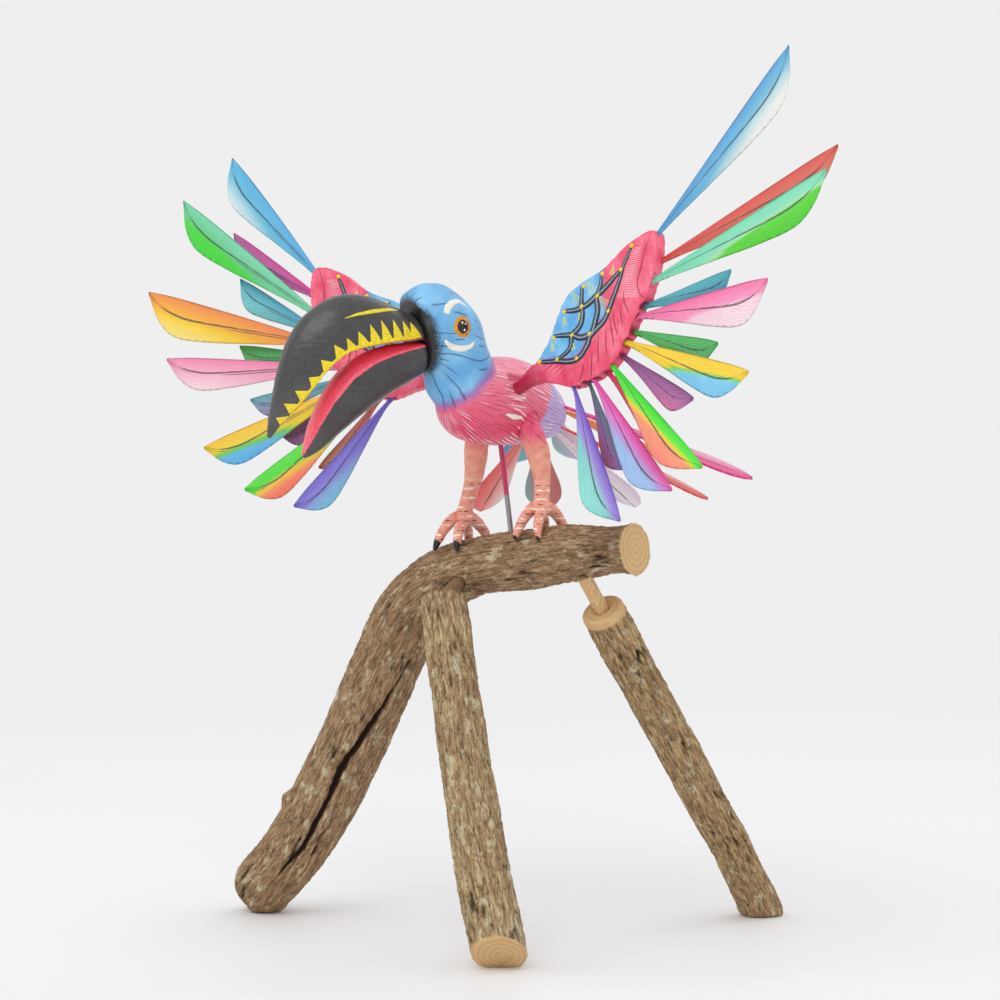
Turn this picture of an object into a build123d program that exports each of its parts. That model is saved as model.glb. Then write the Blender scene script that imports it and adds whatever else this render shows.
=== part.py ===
from build123d import *
import math
import os

os.makedirs("parts", exist_ok=True)

# A carved and painted bird with a long toothed beak, standing on a branch that rests on three legs.
# Millimetres. The bird faces -Y, its left wing is towards +X, and the floor is Z = 0.
# Everything is first placed about the bird's own middle plane, X = 0. The last lines move it so that
# the origin is the centre of the whole figure's footprint box.

# ---- driving dimensions -------------------------------------------------------------------------
GLUE_GAP = 0.05          # radial room of a peg in its socket
TOE_GAP = 0.8            # room between the toes and the perch
SHOULDER_GAP = 0.4       # room between a wing's root and its seat on the body

# Stand: the route of the bent branch's centre line, with its radius at each point.
PERCH_ROUTE = [(100, 247, 16.5), (55, 243, 17), (7, 237, 18), (-29, 230, 18.6), (-53, 219, 19.8),
               (-71, 202, 21), (-88, 174, 21.8), (-118, 118, 21.5), (-149, 67, 21.5), (-175, 35, 21)]
PERCH_FOOT = (-192, 19, 20.5)          # ball-shaped lower end: X, Z, radius
FRONT_LEG_TOP = (-23, -30.5, 216)
FRONT_LEG_MIDDLE = (15, -57.5, 115)
FRONT_LEG_FOOT = (58, -82, 14)
FRONT_LEG_RADII = (14.2, 15.2, 17.2)
FRONT_CUT_TILT = 45                    # slope of the sawn foot face
FRONT_CUT_HEADING = 36                 # the way that face looks, from -Y towards +X
FRONT_HEEL = (54.5, -77, 0)
REAR_LEG_TOP = (66, 13, 209)
REAR_LEG_BEND = (75.5, 146, 50)
REAR_LEG_FOOT = (80, 177, 3)
REAR_LEG_RADII = (13.6, 13, 12.8, 13.6)
REAR_FOOT_FLAT = 18                    # length of the flat that the rear leg stands on
FOOT_WASTE = 40                        # a leg's extra length, cut off below the floor
FRONT_TOP_ROUNDING = 2.5
REAR_TOP_ROUNDING = 2
NOTCH_GAP = 0.3                        # room round the perch in the front leg's notch
NOTCH_TURN = 79                        # slope of the perch where the front leg meets it
NOTCH_LENGTH = 120
STAND_DOWEL_RADIUS = 4.5
REAR_DOWEL_ABOVE = 27                  # length of the rear dowel above the leg's top, and in it
REAR_DOWEL_BELOW = 22
FRONT_DOWEL_RADIUS = 4
FRONT_DOWEL_START = (-22, -8, 228)
FRONT_DOWEL_END = (-22.6, -32, 213.5)
CUT_BLOCK = 400                        # size of the blocks that cut along a plane
FLOOR_BLOCK = 900
ROD_RADIUS = 1.6
ROD_END_ROOM = 0.005                   # share of the rod's length left free beyond each end
ROD_TOP = (-3.5, 0, 326)
ROD_FOOT = (9.9, 0, 236)

# Bird's trunk: Y, height of the centre, half width, half height.
TRUNK = [(-56, 334, 6, 8), (-51, 334.5, 13, 15), (-40, 335, 20, 22), (-20, 336, 24, 26.5),
         (4, 336, 24, 27.5), (22, 335, 22, 25), (37, 332, 18, 20.5), (48, 329, 14.5, 16.5), (52.5, 328, 12.5, 14)]
# Neck and crown, level sections: X, Y, Z, half width, half depth, degrees turned to the bird's right.
NECK = [(0, -20, 326, 19, 24, 5), (-4, -31, 340, 22, 25, 14), (-5.5, -35, 352, 22, 24, 20),
        (-7, -40, 364, 22, 22.5, 24), (-9, -45, 375, 22.5, 23.5, 28), (-11, -49, 385, 22.5, 25, 28),
        (-13, -53, 394, 20.5, 23, 28), (-14, -54.5, 401, 15.5, 17.5, 28), (-14, -54.5, 406, 9, 10, 28),
        (-14, -54.5, 408, 4, 4.5, 28)]
HEAD_TURN = 28
HEAD_AXIS = (-11.5, -50, 373)           # the head's centre line leaves here towards the beak
# Face: distance forward, height above the head axis, half width, half height.
FACE = [(-6, 7, 21, 24), (4, 6, 22.5, 25), (12, 3, 21.5, 23), (22, -1, 17.5, 18)]
BEAK_START = 15
BEAK_SEAT_TILT = 14                    # the beak's seat on the face looks down by this angle

# Beak in its own upright plane: distance forward and height of the crest and of the cutting edge,
# from the face's centre, with the half width.
UPPER_BEAK = [((4.3, 16), (0.3, 0.8), 15.5), ((12, 19), (12, -0.5), 17), ((25, 24.5), (27, -2.5), 18.5),
              ((39, 27.5), (41, -5), 18.5), ((53, 26.5), (53, -9), 18), ((67, 19.5), (64, -18), 16.5),
              ((79, 8), (72.5, -29), 14), ((87.5, -8), (79, -38), 11), ((93, -28), (86, -46), 7.5),
              ((96.5, -46), (92, -53.5), 4), ((97.5, -58), (95.5, -59), 1.5)]
LOWER_BEAK = [((-0.5, -3), (-4.5, -19), 14.5), ((10, -5.5), (6, -26), 15), ((22, -9), (17, -32), 15),
              ((34, -14), (28, -39), 14.5), ((47, -23), (39, -47), 14), ((59, -37), (52, -57), 12.5),
              ((67, -51), (62, -65), 9.5), ((72, -62), (69.5, -69.5), 5.5), ((75, -69), (74, -71), 2)]
LOWER_SWELLS = (2.5, 4, 5.5, 6, 6, 5, 4, 2.2, 0.6)   # how far the tongue side of each section bows up
BEAK_TENON_RADIUS = 4
BEAK_TENON_LENGTH = 9
TENON_IN_BEAK = 4
UPPER_TENON_HEIGHT = 8
LOWER_TENON_HEIGHT = -11
FACE_BLOCK = 120                       # size of the block that cuts the face flat for the beak

# Bird's legs and feet.
HIP_SOCKET_RADIUS = 7.6
HIP_INSIDE = (14, -1, 333)
HIP_OUTSIDE = (21.5, 3.5, 313)
THIGH_START = 0.9                      # share of the hip's length where the thigh starts inside it
THIGH_RADIUS = 7.4
ANKLE_RADIUS = 5
HIP_END_ROOM = 0.01                    # share of a hip's length left free beyond its end
SHIN = [(24.5, 5.5, 301, 7.1), (26.5, 5.5, 291, 5.6), (28.5, 3, 281, 4.8)]
STANCE = 30                            # the feet stand this far from the middle plane
TOE_SWEEP = (0, 14, 28, 42, 54)        # degrees round the perch
TOE_ARCH = (8, 6.5, 3.5, 1, 0)         # how far each point of a toe is held off the perch
TOE_RADII = (4.2, 3.7, 3.2, 2.5, 1.0)
TOE_SPREAD = (3.5, 9)                    # half distance between two toes, at the root and at the tip
PAD_RADIUS = 5.4

# Wings: a flat plate whose length runs up and outwards from the shoulder.
SHOULDER = (26.5, -14.5, 347)
WING_SWEEP = 8                         # tips ahead of the shoulders
WING_LEAN = 12                         # plates lean back
LEFT_WING_RISE = 42
RIGHT_WING_RISE = 32
PLATE_THICK = 7.5
PLATE_ROOT_HALF = 4.5
PLATE_LEADING = [(17, -2), (37, -10), (60, -21), (84, -16), (119, -13.5), (132, -6.5)]
PLATE_TIP = (128, 4)
PLATE_CUSPS = [(107, 24), (98, 27), (88, 32), (77, 38), (65, 42), (53, 42), (40, 37), (28, 31)]
PLATE_SCALLOP = 1.6                    # how far each scallop bulges
PLATE_UNDERARM = [(17, 16), (6, 7)]
SEAT_SETBACK = 6                       # the body's shoulder ends this far before the wing's zero
SEAT_RADIUS = 8.5
SEAT_ROOM = (30, 14, 20)               # the body is cut back this much in front of a seat
SEAT_ROOM_SHIFT = 6
SEAT_LENGTH = 18
TAB_WIDTH = 6
TAB_THICK = 4
TAB_IN_BODY = 16
TAB_IN_WING = 14
TAB_GAP = 0.1

# Feathers: the place where each stem enters the wing's plate, along and across it, from the tip of
# the wing to the underarm. Odd ones are the front row and even ones the row behind.
STEM_PLACES = [(125, -3), (117, 8), (108, 17), (99, 25), (92, 29), (84, 33), (77, 36), (69, 39),
               (61, 39), (55, 40), (46, 40), (40, 37), (31, 33)]
# Length, angle from the plate's length, blade width and how far the blade is rolled on its stem.
LEFT_FEATHERS = [(142, -12, 23, 0), (138, 11, 20, 0), (140, 14, 22, 0), (62, 21, 15, 0), (98, 29, 24, 0),
                 (62, 47, 15, 0), (99, 52, 20, 0), (61, 65, 14, 0), (103, 78, 19, 35), (66, 76, 13, 0),
                 (97, 83, 19, 35), (59, 98, 13, 0), (94, 98, 19, 35)]
RIGHT_FEATHERS = [(112, -15, 20, 0), (90, 0, 15, 0), (140, -3, 20, 0), (84, 3, 15, 0), (146, 17, 24, 0),
                  (77, 24, 14, 0), (130, 29, 20, 0), (74, 41, 14, 0), (113, 53, 21, 0), (64, 56, 14, 0),
                  (102, 67, 21, 0), (59, 77, 13, 0), (91, 79, 20, 0)]
ROW_OFFSET = 1.8                       # each row's distance from the plate's middle
BACK_ROW_LEAN = 4
STEM_RADIUS = 1.2
STEM_IN_PLATE = 6
SOCKET_ROOM = 0.2                      # a socket is this much deeper than its stem
SOCKET_REACH = 30                      # and is bored from this far outside
BARE_STEM = 0.11                       # share of a feather's length before its blade starts
BLADE_THICK = 1.6

# Tail: heading from straight back towards the bird's left, droop, length, width, and its row.
TAIL_FEATHERS = [(-55, 30, 115, 22, "low"), (-43, 22, 103, 22, "high"), (-33, 30, 112, 24, "low"),
                 (-22, 20, 107, 22, "high"), (-3, 27, 120, 25, "low"), (2, 17, 116, 22, "high"),
                 (24, 18, 96, 22, "high"), (47, 26, 106, 24, "low"), (56, 21, 130, 25, "high")]
TAIL_ROWS = {"low": 320.5, "high": 334}
TAIL_CENTRE_Y = 38.5
TAIL_ROOT_RADIUS = 13.5
TAIL_STEM_IN = 5


# ---- general shapes -----------------------------------------------------------------------------
def bar(start, end, radius):
    """A round bar between two points."""
    run = Vector(end) - Vector(start)
    place = Plane(origin=start, z_dir=run)
    return place * Cylinder(radius, run.length, align=(Align.CENTER, Align.CENTER, Align.MIN))


def limb(route, radii, side):
    """A tapering round limb through the points of a route; side is about square to it."""
    points = [Vector(p) for p in route]
    sections = []
    for i, (point, radius) in enumerate(zip(points, radii)):
        along = (points[min(i + 1, len(points) - 1)] - points[max(i - 1, 0)]).normalized()
        across = Vector(side) - along * along.dot(Vector(side))
        sections.append(Plane(origin=point, x_dir=across, z_dir=along) * Circle(radius))
    return loft(sections)


def half_space(point, outward, size=CUT_BLOCK):
    """A block that fills the space beyond a plane."""
    return Plane(origin=point, z_dir=outward) * Box(size, size, size, align=(Align.CENTER, Align.CENTER, Align.MIN))


def between(start, end, share):
    return Vector(start) + (Vector(end) - Vector(start)) * share


FLOOR_BELOW = half_space((0, 0, 0), (0, 0, -1), FLOOR_BLOCK)


# ---- stand --------------------------------------------------------------------------------------
def perch_branch():
    """One bent branch: the perch itself and the thick left leg, ending in a rounded foot."""
    route = [(x, 0, z) for x, z, _ in PERCH_ROUTE] + [(PERCH_FOOT[0], 0, PERCH_FOOT[1])]
    radii = [radius for _, _, radius in PERCH_ROUTE] + [PERCH_FOOT[2] - 0.2]
    branch = limb(route, radii, (0, 1, 0))
    foot = Pos(PERCH_FOOT[0], 0, PERCH_FOOT[1]) * Sphere(PERCH_FOOT[2])
    branch = branch + foot - FLOOR_BELOW
    branch -= bar(*rear_dowel_ends(), STAND_DOWEL_RADIUS + GLUE_GAP)
    branch -= bar(*front_dowel_ends(), FRONT_DOWEL_RADIUS + GLUE_GAP)
    branch -= bar(between(ROD_FOOT, ROD_TOP, -ROD_END_ROOM), ROD_TOP, ROD_RADIUS + GLUE_GAP)
    return branch


def perch_at(x):
    """Height of the perch's centre line, and its upright radius, at X."""
    for (xa, za, ra), (xb, zb, rb) in zip(PERCH_ROUTE, PERCH_ROUTE[1:]):
        if xb <= x <= xa:
            share = (xa - x) / (xa - xb)
            slope = math.hypot(1, (za - zb) / (xa - xb))
            return za + (zb - za) * share, (ra + (rb - ra) * share) * slope
    raise ValueError("X is off the perch")


def front_dowel_ends():
    """A hidden dowel from the perch's near side into the front leg's top."""
    return Vector(FRONT_DOWEL_START), Vector(FRONT_DOWEL_END)


def front_leg():
    top, foot = Vector(FRONT_LEG_TOP), Vector(FRONT_LEG_FOOT)
    along = (foot - top).normalized()
    route = [top, FRONT_LEG_MIDDLE, foot + along * FOOT_WASTE]
    leg = limb(route, FRONT_LEG_RADII, (1, 0, 0))
    leg = fillet(leg.edges().sort_by(Axis.Z)[-1], FRONT_TOP_ROUNDING)
    tilt, heading = math.radians(FRONT_CUT_TILT), math.radians(FRONT_CUT_HEADING)
    look = (math.sin(heading) * math.sin(tilt), -math.cos(heading) * math.sin(tilt), -math.cos(tilt))
    leg -= half_space(FRONT_HEEL, look)
    leg -= FLOOR_BELOW
    z_centre, radius = perch_at(FRONT_LEG_TOP[0])
    perch = Cylinder(radius + NOTCH_GAP, NOTCH_LENGTH)
    leg -= Pos(FRONT_LEG_TOP[0], 0, z_centre) * Rot(0, NOTCH_TURN, 0) * perch
    leg -= bar(*front_dowel_ends(), FRONT_DOWEL_RADIUS + GLUE_GAP)
    return leg


def rear_dowel_ends():
    """The dowel that shows between the perch and the rear leg, on the line of the leg."""
    along = (Vector(REAR_LEG_BEND) - Vector(REAR_LEG_TOP)).normalized()
    top = Vector(REAR_LEG_TOP)
    return top - along * REAR_DOWEL_ABOVE, top + along * REAR_DOWEL_BELOW


def rear_leg():
    foot = Vector(REAR_LEG_FOOT)
    along = (foot - Vector(REAR_LEG_BEND)).normalized()
    route = [REAR_LEG_TOP, between(REAR_LEG_TOP, REAR_LEG_BEND, 0.5), REAR_LEG_BEND, foot + along * FOOT_WASTE]
    leg = limb(route, REAR_LEG_RADII, (1, 0, 0))
    leg = fillet(leg.edges().sort_by(Axis.Z)[-1], REAR_TOP_ROUNDING)
    leg -= FLOOR_BELOW
    heel_line = foot + Vector(0, REAR_FOOT_FLAT / 2, -REAR_LEG_FOOT[2])
    leg -= half_space(heel_line, along)
    leg -= bar(*rear_dowel_ends(), STAND_DOWEL_RADIUS + GLUE_GAP)
    return leg


# ---- bird: trunk, head and beak -----------------------------------------------------------------
def forward(turn):
    return Vector(-math.sin(math.radians(turn)), -math.cos(math.radians(turn)), 0)


def sideways(turn):
    return Vector(math.cos(math.radians(turn)), -math.sin(math.radians(turn)), 0)


def in_head(ahead, height):
    """A point in the head's upright middle plane."""
    return Vector(HEAD_AXIS) + forward(HEAD_TURN) * ahead + Vector(0, 0, height)


def beak_seat_normal():
    tilt = math.radians(BEAK_SEAT_TILT)
    return forward(HEAD_TURN) * math.cos(tilt) - Vector(0, 0, math.sin(tilt))


def trunk():
    sections = [Plane(origin=(0, y, z), x_dir=(1, 0, 0), z_dir=(0, 1, 0)) * Ellipse(half_width, half_height)
                for y, z, half_width, half_height in TRUNK]
    return loft(sections)


def neck():
    sections = [Plane(origin=(x, y, z), x_dir=sideways(turn), z_dir=(0, 0, 1)) * Ellipse(half_width, half_depth)
                for x, y, z, half_width, half_depth, turn in NECK]
    return loft(sections)


def face():
    sections = [Plane(origin=in_head(ahead, height), x_dir=sideways(HEAD_TURN), z_dir=forward(HEAD_TURN))
                * Ellipse(half_width, half_height) for ahead, height, half_width, half_height in FACE]
    return loft(sections)


def bird_body():
    """The trunk, neck and head are one piece of wood, with a seat or socket for whatever joins it."""
    body = trunk() + neck() + face()
    body -= half_space(in_head(BEAK_START, 0), beak_seat_normal(), FACE_BLOCK)
    for side, rise in ((1, LEFT_WING_RISE), (-1, RIGHT_WING_RISE)):
        seat = wing_point(side, rise, -SEAT_SETBACK, 0, 0)
        body += bar(wing_point(side, rise, -SEAT_SETBACK - SEAT_LENGTH, 0, 0), seat, SEAT_RADIUS)
        body -= seat_room(side, rise)
    for side, rise in ((1, LEFT_WING_RISE), (-1, RIGHT_WING_RISE)):
        body -= wing_tab(side, rise, TAB_GAP)
    for side in (1, -1):
        inside, outside = mirrored(HIP_INSIDE, side), mirrored(HIP_OUTSIDE, side)
        body -= bar(between(inside, outside, -HIP_END_ROOM), outside, HIP_SOCKET_RADIUS + GLUE_GAP)
    body -= bar(between(ROD_TOP, ROD_FOOT, -ROD_END_ROOM), ROD_FOOT, ROD_RADIUS + GLUE_GAP)
    for height in (UPPER_TENON_HEIGHT, LOWER_TENON_HEIGHT):
        body -= beak_tenon(height, GLUE_GAP)
    for heading, droop, _, _, row in TAIL_FEATHERS:
        root, along, _ = tail_place(heading, droop, row)
        body -= bar(root - along * (TAIL_STEM_IN + SOCKET_ROOM), root + along * SOCKET_REACH, STEM_RADIUS + GLUE_GAP)
    return body


def seat_room(side, rise):
    """The room in front of a shoulder's seat that the root of the wing needs."""
    along, trailing, _ = wing_axes(side, rise)
    corner = wing_point(side, rise, -SEAT_SETBACK, SEAT_ROOM_SHIFT, 0)
    return Plane(origin=corner, x_dir=trailing, z_dir=along) * Box(
        *SEAT_ROOM, align=(Align.CENTER, Align.CENTER, Align.MIN))


def beak_tenon(height, room=0):
    """The short round tenon on the back of each half of the beak."""
    back = BEAK_START - BEAK_TENON_LENGTH
    return bar(in_head(back - room, height), in_head(BEAK_START + TENON_IN_BEAK, height), BEAK_TENON_RADIUS + room)


def beak_half(stations, crest_is_round, swells=None):
    """Loft of half-elliptical sections: the round side is the crest above, or the keel below.
    swells say how far the other side bows out at each station; without them it is flat."""
    sections = []
    for number, (high, low, half_width) in enumerate(stations):
        top, bottom = in_head(BEAK_START + high[0], high[1]), in_head(BEAK_START + low[0], low[1])
        flat, crown = (bottom, top) if crest_is_round else (top, bottom)
        up = crown - flat
        plane = Plane(origin=flat, x_dir=sideways(HEAD_TURN), z_dir=sideways(HEAD_TURN).cross(up))
        bow = plane * EllipticalCenterArc((0, 0), half_width, up.length, arc_size=180)
        back = Line(bow @ 1, bow @ 0)
        if swells:
            back = ThreePointArc(bow @ 1, flat - up.normalized() * swells[number], bow @ 0)
        sections.append(make_face([bow, back]))
    return loft(sections)


def upper_beak():
    return beak_half(UPPER_BEAK, True) + beak_tenon(UPPER_TENON_HEIGHT)


def lower_beak():
    return beak_half(LOWER_BEAK, False, LOWER_SWELLS) + beak_tenon(LOWER_TENON_HEIGHT)


# ---- bird: legs ---------------------------------------------------------------------------------
def mirrored(point, side):
    return Vector(point[0] * side, point[1], point[2])


def foot_level(side):
    """Centre height of the perch under a foot, and the radius that the toes bend round."""
    return perch_at(STANCE * side)


def toe(side, toe_side, front):
    """A toe that bends down over the perch and ends in a claw."""
    z_centre, perch_radius = foot_level(side)
    points = []
    for step, (angle, radius) in enumerate(zip(TOE_SWEEP, TOE_RADII)):
        reach = perch_radius + TOE_GAP + radius + TOE_ARCH[step]
        spread = TOE_SPREAD[0] + (TOE_SPREAD[1] - TOE_SPREAD[0]) * step / (len(TOE_SWEEP) - 1)
        swing = math.radians(angle)
        points.append((STANCE * side + toe_side * spread, front * -reach * math.sin(swing),
                       z_centre + reach * math.cos(swing)))
    return limb(points, TOE_RADII, (1, 0, 0))


def bird_leg(side):
    """A leg with its hip in the body, a bent shank and four toes, two ahead of the perch and two behind."""
    z_centre, perch_radius = foot_level(side)
    pad_height = z_centre + perch_radius + TOE_GAP + TOE_ARCH[0] + TOE_RADII[0]
    drop = perch_at(STANCE)[0] + perch_at(STANCE)[1] - z_centre - perch_radius
    inside, outside = mirrored(HIP_INSIDE, side), mirrored(HIP_OUTSIDE, side)
    leg = bar(inside, outside, HIP_SOCKET_RADIUS)
    shank = [mirrored((x, y, z - drop * share), side) for (x, y, z, _), share in zip(SHIN, (0.3, 0.6, 0.9))]
    route = [between(inside, outside, THIGH_START), outside, *shank, Vector(STANCE * side, 0, pad_height)]
    radii = [THIGH_RADIUS, THIGH_RADIUS, *(radius for *_, radius in SHIN), ANKLE_RADIUS]
    leg += limb(route, radii, (1, 0, 0))
    leg += Pos(STANCE * side, 0, pad_height) * Sphere(PAD_RADIUS)
    for toe_side in (1, -1):
        for front in (1, -1):
            leg += toe(side, toe_side, front)
    return leg


# ---- wings --------------------------------------------------------------------------------------
def wing_axes(side, rise):
    """A wing's own directions: along its plate, towards its trailing edge, and out of its front face."""
    sweep, lean, lift = (math.radians(a) for a in (WING_SWEEP, WING_LEAN, rise))
    span = Vector(side * math.cos(sweep), -math.sin(sweep), 0)
    back = Vector(side * math.sin(sweep), math.cos(sweep), 0)
    up = back * math.sin(lean) + Vector(0, 0, math.cos(lean))
    along = span * math.cos(lift) + up * math.sin(lift)
    trailing = span * math.sin(lift) - up * math.cos(lift)
    return along, trailing, trailing.cross(along) * side


def wing_point(side, rise, s, t, out):
    along, trailing, outward = wing_axes(side, rise)
    return mirrored(SHOULDER, side) + along * s + trailing * t + outward * out


def wing_plane(side, rise, out):
    """The plane of the plate, its X along the plate and its Y towards the trailing edge."""
    along, _, outward = wing_axes(side, rise)
    return Plane(origin=wing_point(side, rise, 0, 0, out), x_dir=along, z_dir=outward * -side)


def wing_tab(side, rise, room=0):
    """The flat key that joins a wing to the body."""
    along, _, outward = wing_axes(side, rise)
    start = wing_point(side, rise, -SEAT_SETBACK - TAB_IN_BODY - room, 0, 0)
    length = TAB_IN_BODY + SEAT_SETBACK + TAB_IN_WING + 2 * room
    block = Box(TAB_WIDTH + 2 * room, TAB_THICK + 2 * room, length, align=(Align.CENTER, Align.CENTER, Align.MIN))
    return Plane(origin=start, x_dir=wing_axes(side, rise)[1], z_dir=along) * block


def plate_outline():
    """The plate's edge: a smooth leading side, a blunt tip, and one scallop between each pair of cusps."""
    root = -SEAT_SETBACK + SHOULDER_GAP
    lead = Spline((root, -PLATE_ROOT_HALF), *PLATE_LEADING, PLATE_TIP)
    edges = [lead]
    cusps = [PLATE_TIP] + PLATE_CUSPS
    for a, b in zip(cusps, cusps[1:]):
        run = Vector(b) - Vector(a)
        bulge = (Vector(a) + Vector(b)) / 2 - Vector(-run.Y, run.X) / run.length * PLATE_SCALLOP
        edges.append(ThreePointArc(a, (bulge.X, bulge.Y), b))
    edges.append(Spline(PLATE_CUSPS[-1], *PLATE_UNDERARM, (root, PLATE_ROOT_HALF)))
    edges.append(Line((root, PLATE_ROOT_HALF), (root, -PLATE_ROOT_HALF)))
    return make_face(edges)


def wing_plate(side, rise, feathers):
    plate = wing_plane(side, rise, 0) * extrude(plate_outline(), PLATE_THICK / 2, both=True)
    plate -= wing_tab(side, rise, TAB_GAP)
    for number in range(len(feathers)):
        root, along, _ = feather_place(side, rise, feathers, number)
        plate -= bar(root - along * (STEM_IN_PLATE + SOCKET_ROOM), root + along * SOCKET_REACH,
                     STEM_RADIUS + GLUE_GAP)
    return plate


def feather_place(side, rise, feathers, number):
    """Where a stem enters the plate, the way the feather points, and the way its blade widens."""
    _, angle, _, roll = feathers[number]
    plate_along, plate_trailing, outward = wing_axes(side, rise)
    front_row = number % 2 == 0
    s, t = STEM_PLACES[number]
    root = wing_point(side, rise, s, t, ROW_OFFSET if front_row else -ROW_OFFSET)
    swing = math.radians(angle)
    along = plate_along * math.cos(swing) + plate_trailing * math.sin(swing)
    widen = plate_trailing * math.cos(swing) - plate_along * math.sin(swing)
    lean = math.radians(0 if front_row else BACK_ROW_LEAN)
    along = along * math.cos(lean) - outward * math.sin(lean)
    tilt = math.radians(roll)
    outward = along.cross(widen).normalized()
    widen = widen * math.cos(tilt) - outward * side * math.sin(tilt)
    return root, along, widen


def blade_outline(length, width):
    """A straight leading edge, a trailing edge that swells towards the end, and a tip on the leading side."""
    start = BARE_STEM * length
    half_stem = 0.8 * STEM_RADIUS
    lead = Spline((start, -half_stem), (0.55 * length, -0.07 * width), (length, 0.02 * width))
    trail = Spline((start, half_stem), (0.35 * length, 0.45 * width), (0.60 * length, 0.80 * width),
                   (0.78 * length, 0.93 * width), (0.91 * length, 0.72 * width), (length, 0.04 * width + 0.6))
    return make_face([lead, trail, Line(lead @ 0, trail @ 0), Line(lead @ 1, trail @ 1)])


def feather(root, along, widen, length, width, stem_in):
    """A thin blade with a round stem that goes stem_in deep into its socket."""
    plane = Plane(origin=root, x_dir=along, z_dir=along.cross(widen))
    blade = plane * extrude(blade_outline(length, width), BLADE_THICK / 2, both=True)
    return blade + bar(root - along * stem_in, root + along * (BARE_STEM * length + 3), STEM_RADIUS)


# ---- tail ---------------------------------------------------------------------------------------
def tail_place(heading, droop, row):
    """Where a tail feather leaves the rump, the way it points, and the way its blade widens."""
    turn, dip = math.radians(heading), math.radians(droop)
    level = Vector(math.sin(turn), math.cos(turn), 0)
    root = Vector(0, TAIL_CENTRE_Y, TAIL_ROWS[row]) + level * TAIL_ROOT_RADIUS
    along = level * math.cos(dip) - Vector(0, 0, math.sin(dip))
    widen = Vector(0, 0, 1).cross(along).normalized()
    return root, along, widen


def tail_feather(heading, droop, length, width, row):
    root, along, widen = tail_place(heading, droop, row)
    plane = Plane(origin=root, x_dir=along, z_dir=along.cross(widen))
    blade = plane * extrude(tail_outline(length, width), BLADE_THICK / 2, both=True)
    return blade + bar(root - along * TAIL_STEM_IN, root + along * (BARE_STEM * length + 3), STEM_RADIUS)


def tail_outline(length, width):
    """A tail blade is the same on both sides: narrow at its stem and widest near its rounded end."""
    start = BARE_STEM * length
    edges = []
    for half in (1, -1):
        edges.append(Spline((start, half * 0.8 * STEM_RADIUS), (0.45 * length, half * 0.27 * width),
                            (0.80 * length, half * 0.5 * width), (0.95 * length, half * 0.3 * width),
                            (length, half * 0.5)))
    edges.append(Line(edges[0] @ 0, edges[1] @ 0))
    edges.append(Line(edges[0] @ 1, edges[1] @ 1))
    return make_face(edges)


# ---- the whole figure ---------------------------------------------------------------------------
def all_nodes():
    nodes = {
        "perch_branch": perch_branch(),
        "front_leg": front_leg(),
        "front_leg_dowel": bar(*front_dowel_ends(), FRONT_DOWEL_RADIUS),
        "rear_leg": rear_leg(),
        "rear_leg_dowel": bar(*rear_dowel_ends(), STAND_DOWEL_RADIUS),
        "bird_body": bird_body(),
        "upper_beak": upper_beak(),
        "lower_beak": lower_beak(),
        "left_leg": bird_leg(1),
        "right_leg": bird_leg(-1),
        "mounting_rod": bar(ROD_TOP, ROD_FOOT, ROD_RADIUS),
    }
    for number, row in enumerate(TAIL_FEATHERS, 1):
        nodes[f"tail_feather_{number:02d}"] = tail_feather(*row)
    for name, side, rise, feathers in (("left", 1, LEFT_WING_RISE, LEFT_FEATHERS),
                                       ("right", -1, RIGHT_WING_RISE, RIGHT_FEATHERS)):
        nodes[f"{name}_wing"] = wing_plate(side, rise, feathers)
        nodes[f"{name}_wing_tab"] = wing_tab(side, rise)
        for number, (length, _, width, _) in enumerate(feathers):
            place = feather_place(side, rise, feathers, number)
            nodes[f"{name}_feather_{number + 1:02d}"] = feather(*place, length, width, STEM_IN_PLATE)
    return nodes


nodes = all_nodes()
box = Compound(list(nodes.values())).bounding_box()
to_origin = Pos(-(box.min.X + box.max.X) / 2, -(box.min.Y + box.max.Y) / 2, 0)
for name, solid in nodes.items():
    export_step(to_origin * solid, f"parts/{name}.step")
print("moved by", to_origin.position, "size", box.size, "nodes", len(nodes))
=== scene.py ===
import math

import bmesh
import bpy
from mathutils import Matrix, Vector, kdtree, noise
from mathutils.bvhtree import BVHTree


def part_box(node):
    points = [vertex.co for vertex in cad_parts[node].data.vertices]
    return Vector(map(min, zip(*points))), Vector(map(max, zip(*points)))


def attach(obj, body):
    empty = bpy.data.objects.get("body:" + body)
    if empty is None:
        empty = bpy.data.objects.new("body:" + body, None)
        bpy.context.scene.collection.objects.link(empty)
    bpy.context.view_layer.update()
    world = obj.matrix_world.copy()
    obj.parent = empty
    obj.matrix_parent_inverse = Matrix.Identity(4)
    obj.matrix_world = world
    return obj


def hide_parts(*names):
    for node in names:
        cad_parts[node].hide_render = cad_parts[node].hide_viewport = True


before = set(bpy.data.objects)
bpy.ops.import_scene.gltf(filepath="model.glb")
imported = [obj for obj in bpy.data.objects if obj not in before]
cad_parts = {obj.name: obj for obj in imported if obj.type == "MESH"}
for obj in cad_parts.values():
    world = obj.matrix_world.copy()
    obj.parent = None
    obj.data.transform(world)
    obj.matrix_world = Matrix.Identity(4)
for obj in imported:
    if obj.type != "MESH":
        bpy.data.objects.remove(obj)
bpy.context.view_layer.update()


# ---- studio -------------------------------------------------------------------------------------
# A pale floor under soft lamps, seen from the bird's front left at branch height. The floor is a
# wide matt disc, and the lamps are large so that every shadow is faint.
MM = 0.001
ROD_CENTRE = (3.2, 0)                   # the mounting rod's middle, beside the bird's middle plane
CAMERA_PLACE = (1175.9, -1620.5, 344.6)
CAMERA_TURN = (math.radians(88), 0, math.radians(36))
CAMERA_LENS = 116.13
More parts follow.
